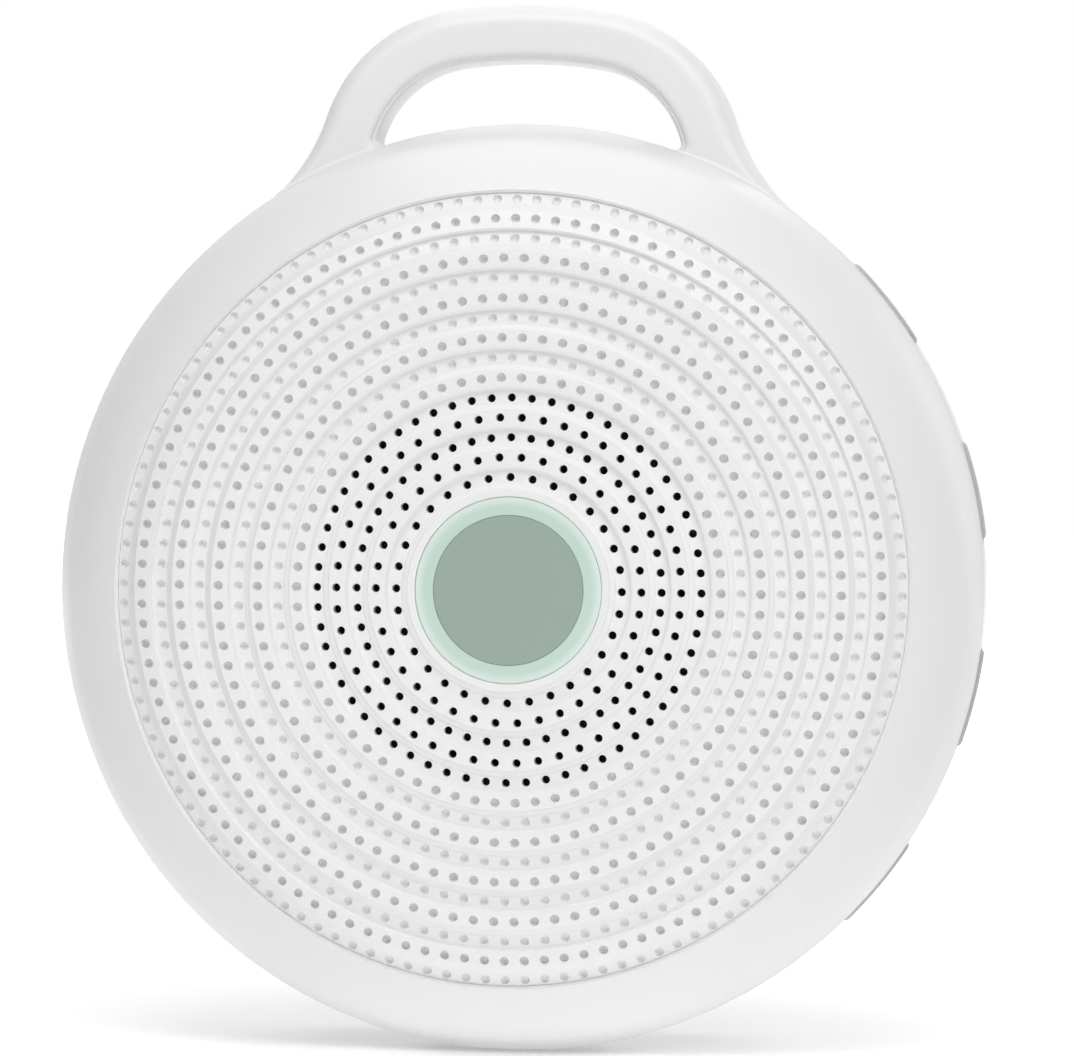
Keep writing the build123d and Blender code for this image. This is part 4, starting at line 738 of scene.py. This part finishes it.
class Finish:
    """Node material, entered in MATERIALS: a principled shader fed by patterns on object coordinates."""

    def __init__(self, name, colour, roughness, **sockets):
        self.material = MATERIALS[name] = bpy.data.materials.new(name)
        self.material.use_nodes = True
        self.tree = self.material.node_tree
        self.shader = self.tree.nodes["Principled BSDF"]
        self.place = self.node("ShaderNodeTexCoord").outputs["Object"]
        self.colour, self.roughness = colour, roughness
        self.put("Roughness", roughness)
        self.put("Base Color", (*colour, 1))
        for socket, value in sockets.items():
            self.put(socket.replace("_", " "), value)

    def node(self, kind, **values):
        made = self.tree.nodes.new(kind)
        for name, value in values.items():
            if name in made.inputs:
                made.inputs[name].default_value = value
            else:
                setattr(made, name, value)
        return made

    def put(self, socket, value):
        if isinstance(value, bpy.types.NodeSocket):
            self.tree.links.new(value, self.shader.inputs[socket])
        else:
            self.shader.inputs[socket].default_value = value

    def link(self, source, target):
        self.tree.links.new(source, target)

    def noise(self, size, detail=2.0, stretch=None):
        """Noise whose features measure about a size in millimetres, drawn out along the axes by the
        stretch."""
        made = self.node("ShaderNodeTexNoise", Scale=1 / (size * MM), Detail=detail)
        place = self.place
        if stretch:
            mapping = self.node("ShaderNodeMapping", Scale=stretch)
            self.link(place, mapping.inputs["Vector"])
            place = mapping.outputs["Vector"]
        self.link(place, made.inputs["Vector"])
        return made.outputs["Fac"]

    def distance(self, place, point):
        """Metres from a place to a point."""
        made = self.node("ShaderNodeVectorMath", operation="DISTANCE")
        made.inputs[1].default_value = point
        self.link(place, made.inputs[0])
        return made.outputs["Value"]

    def ranged(self, value, low, high, start=0.3, end=0.7, ramp="LINEAR"):
        """Goes from low to high while the value goes from start to end, and stays level past them."""
        made = self.node("ShaderNodeMapRange", interpolation_type=ramp)
        for socket, number in zip(("From Min", "From Max", "To Min", "To Max"), (start, end, low, high)):
            made.inputs[socket].default_value = number
        self.link(value, made.inputs["Value"])
        return made.outputs["Result"]

    def calculated(self, operation, first, second):
        """Result of a sum on two values, each an output or a number."""
        made = self.node("ShaderNodeMath", operation=operation)
        for slot, value in enumerate((first, second)):
            if isinstance(value, bpy.types.NodeSocket):
                self.link(value, made.inputs[slot])
            else:
                made.inputs[slot].default_value = value
        return made.outputs[0]

    def mixed(self, share, first, second):
        made = self.node("ShaderNodeMix", data_type="RGBA")
        self.link(share, made.inputs["Factor"])
        for slot, colour in ((6, first), (7, second)):
            made.inputs[slot].default_value = (*colour, 1)
        return made.outputs[2]

    def bump(self, height, depth):
        """Relief of a depth in millimetres."""
        made = self.node("ShaderNodeBump", Strength=1.0, Distance=depth * MM)
        self.link(height, made.inputs["Height"])
        self.put("Normal", made.outputs["Normal"])

    def mottled(self, size, amount):
        """Colour that darkens a little in soft patches."""
        darker = tuple(c * (1 - amount) for c in self.colour)
        self.put("Base Color", self.mixed(self.ranged(self.noise(size), 0, 1), darker, self.colour))
        return self

    def uneven(self, size, amount, stretch=None):
        """Roughness that varies in patches, or along drawn-out scratches."""
        value = self.noise(size, stretch=stretch)
        self.put("Roughness", self.ranged(value, self.roughness - amount, self.roughness + amount))
        return self


def moulded(name, colour, roughness, grain=0.22, depth=0.006, mottle=None, **sockets):
    """Moulded plastic, rubber, foam or paper: fine grain in the relief, and on rougher kinds soft patches
    in the colour and the gloss."""
    made = Finish(name, colour, roughness, **sockets)
    if mottle:
        made.mottled(PATCH_SIZE, mottle).uneven(SHEEN_SIZE, SHEEN_AMOUNT)
    made.bump(made.noise(grain, GRAIN_DETAIL), depth)


def painted_edge_highlight(name, colour, highlight_colour, roughness, grain=0.22, depth=0.002, **sockets):
    """Clear-edged disc on the drum's axis: the colour pales towards the edge, a painted highlight where the
    rounded edge catches the light."""
    made = Finish(name, colour, roughness, **sockets)
    flat = made.node("ShaderNodeVectorMath", operation="MULTIPLY")
    flat.inputs[1].default_value = (1, 0, 1)
    made.link(made.place, flat.inputs[0])
    radius = made.distance(flat.outputs[0], (0, 0, AXIS_HEIGHT * MM))
    # painted highlight: the colour pales between the two radii towards the rim
    share = made.ranged(radius, 0, 1, EDGE_HIGHLIGHT_RADII[0] * MM, EDGE_HIGHLIGHT_RADII[1] * MM, "SMOOTHSTEP")
    made.put("Base Color", made.mixed(share, colour, highlight_colour))
    made.bump(made.noise(grain, GRAIN_DETAIL), depth)


def metal(name, colour, roughness, grain=0.5, stretch=(1, 14, 1), depth=0.004, patch=1.5,
          mottle=0.12, sheen=0.1):
    """Plated or pressed metal: drawn-out scratches in the gloss and the relief, patchy colour."""
    made = Finish(name, colour, roughness, Metallic=1.0)
    made.mottled(patch, mottle).uneven(grain, sheen, stretch)
    made.bump(made.noise(grain, stretch=stretch), depth)


def woven(name, colour, thread, shade=0.4, depth=0.05):
    """Plain weave: crossed waves a thread wide lift each other, and painted shade darkens the colour where
    they dip between the threads.
    """
    made = Finish(name, colour, 0.9)
    waves = []
    for axis in ("X", "Z"):
        wave = made.node("ShaderNodeTexWave", Scale=1 / (thread * MM) / WEAVE_WAVES, bands_direction=axis)
        made.link(made.place, wave.inputs["Vector"])
        waves.append(wave.outputs["Fac"])
    height = made.calculated("MULTIPLY", *waves)
    # painted shade between the threads
    made.put("Base Color", made.mixed(height, tuple(c * shade for c in colour), colour))
    made.bump(height, depth)


def circuit(name, mask, copper, patch=1.0, sheen=0.06, depth=0.03):
    """Solder mask over copper: the edges of a fine cell pattern show as lighter tracks that stand up a
    little."""
    made = Finish(name, mask, 0.35)
    cells = made.node("ShaderNodeTexVoronoi", feature="DISTANCE_TO_EDGE", Scale=TRACK_CELLS)
    made.link(made.place, cells.inputs["Vector"])
    track = made.ranged(cells.outputs["Distance"], 1.0, 0.0, *TRACK_EDGE)
    made.put("Base Color", made.mixed(track, mask, copper))
    made.uneven(patch, sheen).bump(track, depth)


def wound(name, colour, pitch, shade=0.35, depth=0.05):
    """Enamelled wire wound round the axis: bands a wire wide, with painted shade that darkens the colour
    between the turns.
    """
    made = Finish(name, colour, 0.35, Metallic=0.8)
    wave = made.node("ShaderNodeTexWave", Scale=1 / (pitch * MM) / COIL_WAVES, bands_direction="Y")
    made.link(made.place, wave.inputs["Vector"])
    height = wave.outputs["Fac"]
    # painted shade in the grooves between the turns
    made.put("Base Color", made.mixed(height, tuple(c * shade for c in colour), colour))
    made.bump(height, depth)


moulded("white_shell", (0.86, 0.86, 0.86), 0.32)
moulded("white_grille", (0.88, 0.88, 0.88), 0.4, grain=0.18)
# the mint lens's paler edge colour is a painted highlight
painted_edge_highlight("mint_lens", (0.555, 0.72, 0.638), (0.715, 0.83, 0.768), 0.28, Coat_Weight=0.25)
moulded("sage_inlay", (0.311, 0.403, 0.359), 0.38, depth=0.002)
moulded("grey_silicone", (0.5, 0.5, 0.5), 0.6, grain=0.15, mottle=0.05)
woven("black_cloth", (0.008, 0.008, 0.008), 0.3)
moulded("black_foam", (0.02, 0.02, 0.02), 0.95, grain=0.4, depth=0.15, mottle=0.4)
moulded("speaker_steel", (0.03, 0.03, 0.033), 0.4, grain=0.3, depth=0.01)
moulded("magnet", (0.08, 0.08, 0.085), 0.55, grain=0.3, depth=0.03, mottle=0.3)
moulded("cone_paper", (0.02, 0.02, 0.02), 0.8, grain=0.5, depth=0.04, mottle=0.3)
wound("coil_copper", (0.6, 0.22, 0.08), 0.12)
moulded("surround_rubber", (0.015, 0.015, 0.015), 0.6, grain=0.2)
circuit("circuit_board", (0.01, 0.09, 0.035), (0.05, 0.22, 0.08))
moulded("tab_board", (0.3, 0.17, 0.06), 0.6, grain=0.4, mottle=0.2)
moulded("chip_black", (0.012, 0.012, 0.012), 0.55, grain=0.12, depth=0.01, mottle=0.2)
moulded("led_yellow", (0.9, 0.6, 0.12), 0.3, grain=0.3)
moulded("switch_black", (0.02, 0.02, 0.02), 0.45)
moulded("plunger_white", (0.7, 0.7, 0.64), 0.4)
metal("screw_steel", (0.55, 0.55, 0.56), 0.32)
metal("usb_steel", (0.62, 0.62, 0.64), 0.25)
metal("capacitor_can", (0.68, 0.68, 0.7), 0.3)
moulded("connector_white", (0.75, 0.73, 0.64), 0.5)
metal("cell_wrap", (0.55, 0.56, 0.6), 0.35, stretch=(1, 1, 6))
moulded("lead_red", (0.4, 0.02, 0.015), 0.45, grain=0.3)

slots = {row["node"]: row["material_slot"] for row in frame["record"]["subparts"]}
for node, obj in frame["nodes"].items():
    obj.data.materials.clear()
    obj.data.materials.append(MATERIALS[slots[node]])

# ---------- pieces
piece("bezel", [turned(bezel_profile())], "front_bezel", "white_shell")
posts = tubes(POST_CIRCLE_R, POST_ANGLES, POST_R, POST_BORE_R, GRILLE_BACK, POST_BACK)
boss_foot = grille_sag(SCREW_CIRCLE_R) + GRILLE_BACK
bosses = tubes(SCREW_CIRCLE_R, SCREW_ANGLES, BOSS_R, BOSS_BORE_R, boss_foot, BOSS_FRONT)
piece("grille", [grille_sheet(), *posts, *bosses], "grille_disc", "white_grille")
piece("lens", [turned(lens_profile())], "centre_lens", "mint_lens")
piece("inlay", [turned(inlay_profile())], "lens_inlay", "sage_inlay")
bosses = tubes(SCREW_CIRCLE_R, SCREW_ANGLES, BOSS_R, BOSS_BORE_R, BOSS_FRONT, FLOOR_DEPTH)
standoffs = tubes(STANDOFF_CIRCLE_R, STANDOFF_ANGLES, STANDOFF_R, POST_BORE_R, STANDOFF_FRONT,
                  FLOOR_DEPTH)
fillets = [root_fillet(*ROOT_ANGLES), root_fillet(*(180 - angle for angle in ROOT_ANGLES))]
piece("rear_shell", [drum_sheet(), handle_sheet(), tray_sheet(), *fillets, *bosses, *standoffs],
      "rear_housing", "white_shell")
for key, angle in BUTTONS.items():
    piece(key + "_key_cap", [button_sheet(angle)], key + "_button", "grey_silicone", key + "_key")

# ---------- stage
FLOOR_COLOUR, FLOOR_HALF = (0.88, 0.88, 0.88), 4.0
# middle of the painted floor shadow and of the painted bounce light, a little in front of the drum's axis
FLOOR_MIDDLE = (0.0, -0.008, 0.0)
# painted bounce light: the floor's own glow as it falls on things, standing in for light off a lit table:
# its level near the drum and far off, and the metres from under the drum between which it goes from one to
# the other
PAINTED_FLOOR_BOUNCE = (0.355, 0.21, 0.03, 0.26)
# and its painted shadow as it is seen: its level by the metres from under the drum, low under the drum and
# white far off
PAINTED_FLOOR_SHADOW = ((0.0, 0.0), (0.006, 0.02), (0.012, 0.2), (0.022, 0.27), (0.032, 0.4), (0.06, 0.44),
              (0.15, 0.5), (0.9, 1.3))
# place and size in metres, power in watts
SOFTBOXES = (("front_top", (0.0, -0.6, 0.9), 0.6, 3.91),
             ("front_right", (0.55, -0.75, 0.75), 0.6, 2.68),
             ("front_left", (-0.55, -0.75, 0.75), 0.6, 1.6),
             ("low_right", (0.5, -1.0, 0.15), 0.6, 0.98),
             ("overhead", (0.0, 0.1, 1.0), 0.8, 3.09),
             ("rear_top", (0.0, 0.8, 0.8), 0.7, 1.1),
             ("rear_right", (0.8, 0.6, 0.35), 0.6, 1.15))


def add_floor():
    """Plain floor that glows a little as painted bounce light, standing in for a lit table. The light it
    gives fades away from the drum. What the camera and reflections see of it is a painted shadow: it grows
    from nothing under the drum to full white far off."""
    mesh = bpy.data.meshes.new("floor")
    corners = [(x * FLOOR_HALF, y * FLOOR_HALF, 0) for x, y in ((-1, -1), (1, -1), (1, 1), (-1, 1))]
    mesh.from_pydata(corners, [], [(0, 1, 2, 3)])
    floor = bpy.data.objects.new("floor", mesh)
    bpy.context.scene.collection.objects.link(floor)
    paint = Finish("floor_paint", FLOOR_COLOUR, 1.0, Specular_IOR_Level=0.0, Emission_Color=(1, 1, 1, 1))
    distance = paint.distance(paint.place, FLOOR_MIDDLE)
    reach, full = PAINTED_FLOOR_SHADOW[-1]
    # painted shadow: what is seen of the floor is dark under the drum and white far off
    seen = paint.node("ShaderNodeValToRGB")
    stops = seen.color_ramp.elements
    for where, height in PAINTED_FLOOR_SHADOW[1:-1]:
        stops.new(where / reach).color = (height / full,) * 3 + (1,)
    stops[0].color = (PAINTED_FLOOR_SHADOW[0][1] / full,) * 3 + (1,)
    paint.link(paint.calculated("DIVIDE", distance, reach), seen.inputs["Fac"])
    choice = paint.node("ShaderNodeMix")
    paint.link(seen_directly(paint.tree), choice.inputs["Factor"])
    # painted bounce light: the glow that lights the drum from below, strongest near it
    paint.link(paint.ranged(distance, *PAINTED_FLOOR_BOUNCE, "SMOOTHSTEP"), choice.inputs["A"])
    paint.link(paint.calculated("MULTIPLY", seen.outputs["Color"], full), choice.inputs["B"])
    paint.put("Emission Strength", choice.outputs["Result"])
    mesh.materials.append(paint.material)


def seen_directly(tree):
    """1 for what the camera sees, also in a reflection or through glass, and 0 for light on things."""
    path = tree.nodes.new("ShaderNodeLightPath")
    total = path.outputs["Is Camera Ray"]
    for name in ("Is Glossy Ray", "Is Transmission Ray"):
        join = tree.nodes.new("ShaderNodeMath")
        join.operation = "MAXIMUM"
        tree.links.new(total, join.inputs[0])
        tree.links.new(path.outputs[name], join.inputs[1])
        total = join.outputs[0]
    return total


def add_world():
    """White surroundings that are seen but light nothing."""
    world = bpy.data.worlds.new("studio")
    bpy.context.scene.world = world
    world.use_nodes = True
    background = world.node_tree.nodes["Background"]
    background.inputs["Color"].default_value = (1, 1, 1, 1)
    world.node_tree.links.new(seen_directly(world.node_tree), background.inputs["Strength"])


def add_softbox(name, place, size, power):
    """Square soft light that looks at the middle of the drum."""
    light = bpy.data.lights.new(name, "AREA")
    light.shape, light.size, light.energy = "SQUARE", size, power
    lamp = bpy.data.objects.new(name, light)
    lamp.location = place
    look = Vector((0, 0, AXIS_HEIGHT * MM)) - Vector(place)
    lamp.rotation_euler = look.to_track_quat("-Z", "Y").to_euler()
    bpy.context.scene.collection.objects.link(lamp)


def add_camera():
    """Camera at its place, looking at the target and rolled about its own axis."""
    data = bpy.data.cameras.new("camera")
    data.lens, data.sensor_width, data.clip_start = CAMERA_LENS, CAMERA_SENSOR, CAMERA_NEAR
    camera = bpy.data.objects.new("camera", data)
    look = (Vector(CAMERA_TARGET) - Vector(CAMERA_PLACE)).to_track_quat("-Z", "Y")
    turn = look.to_matrix() @ Matrix.Rotation(radians(CAMERA_ROLL), 3, "Z")
    camera.matrix_world = Matrix.Translation(CAMERA_PLACE) @ turn.to_4x4()
    bpy.context.scene.collection.objects.link(camera)
    bpy.context.scene.camera = camera


add_floor()
add_world()
for softbox in SOFTBOXES:
    add_softbox(*softbox)
add_camera()
bpy.context.scene.view_settings.view_transform = "Standard"
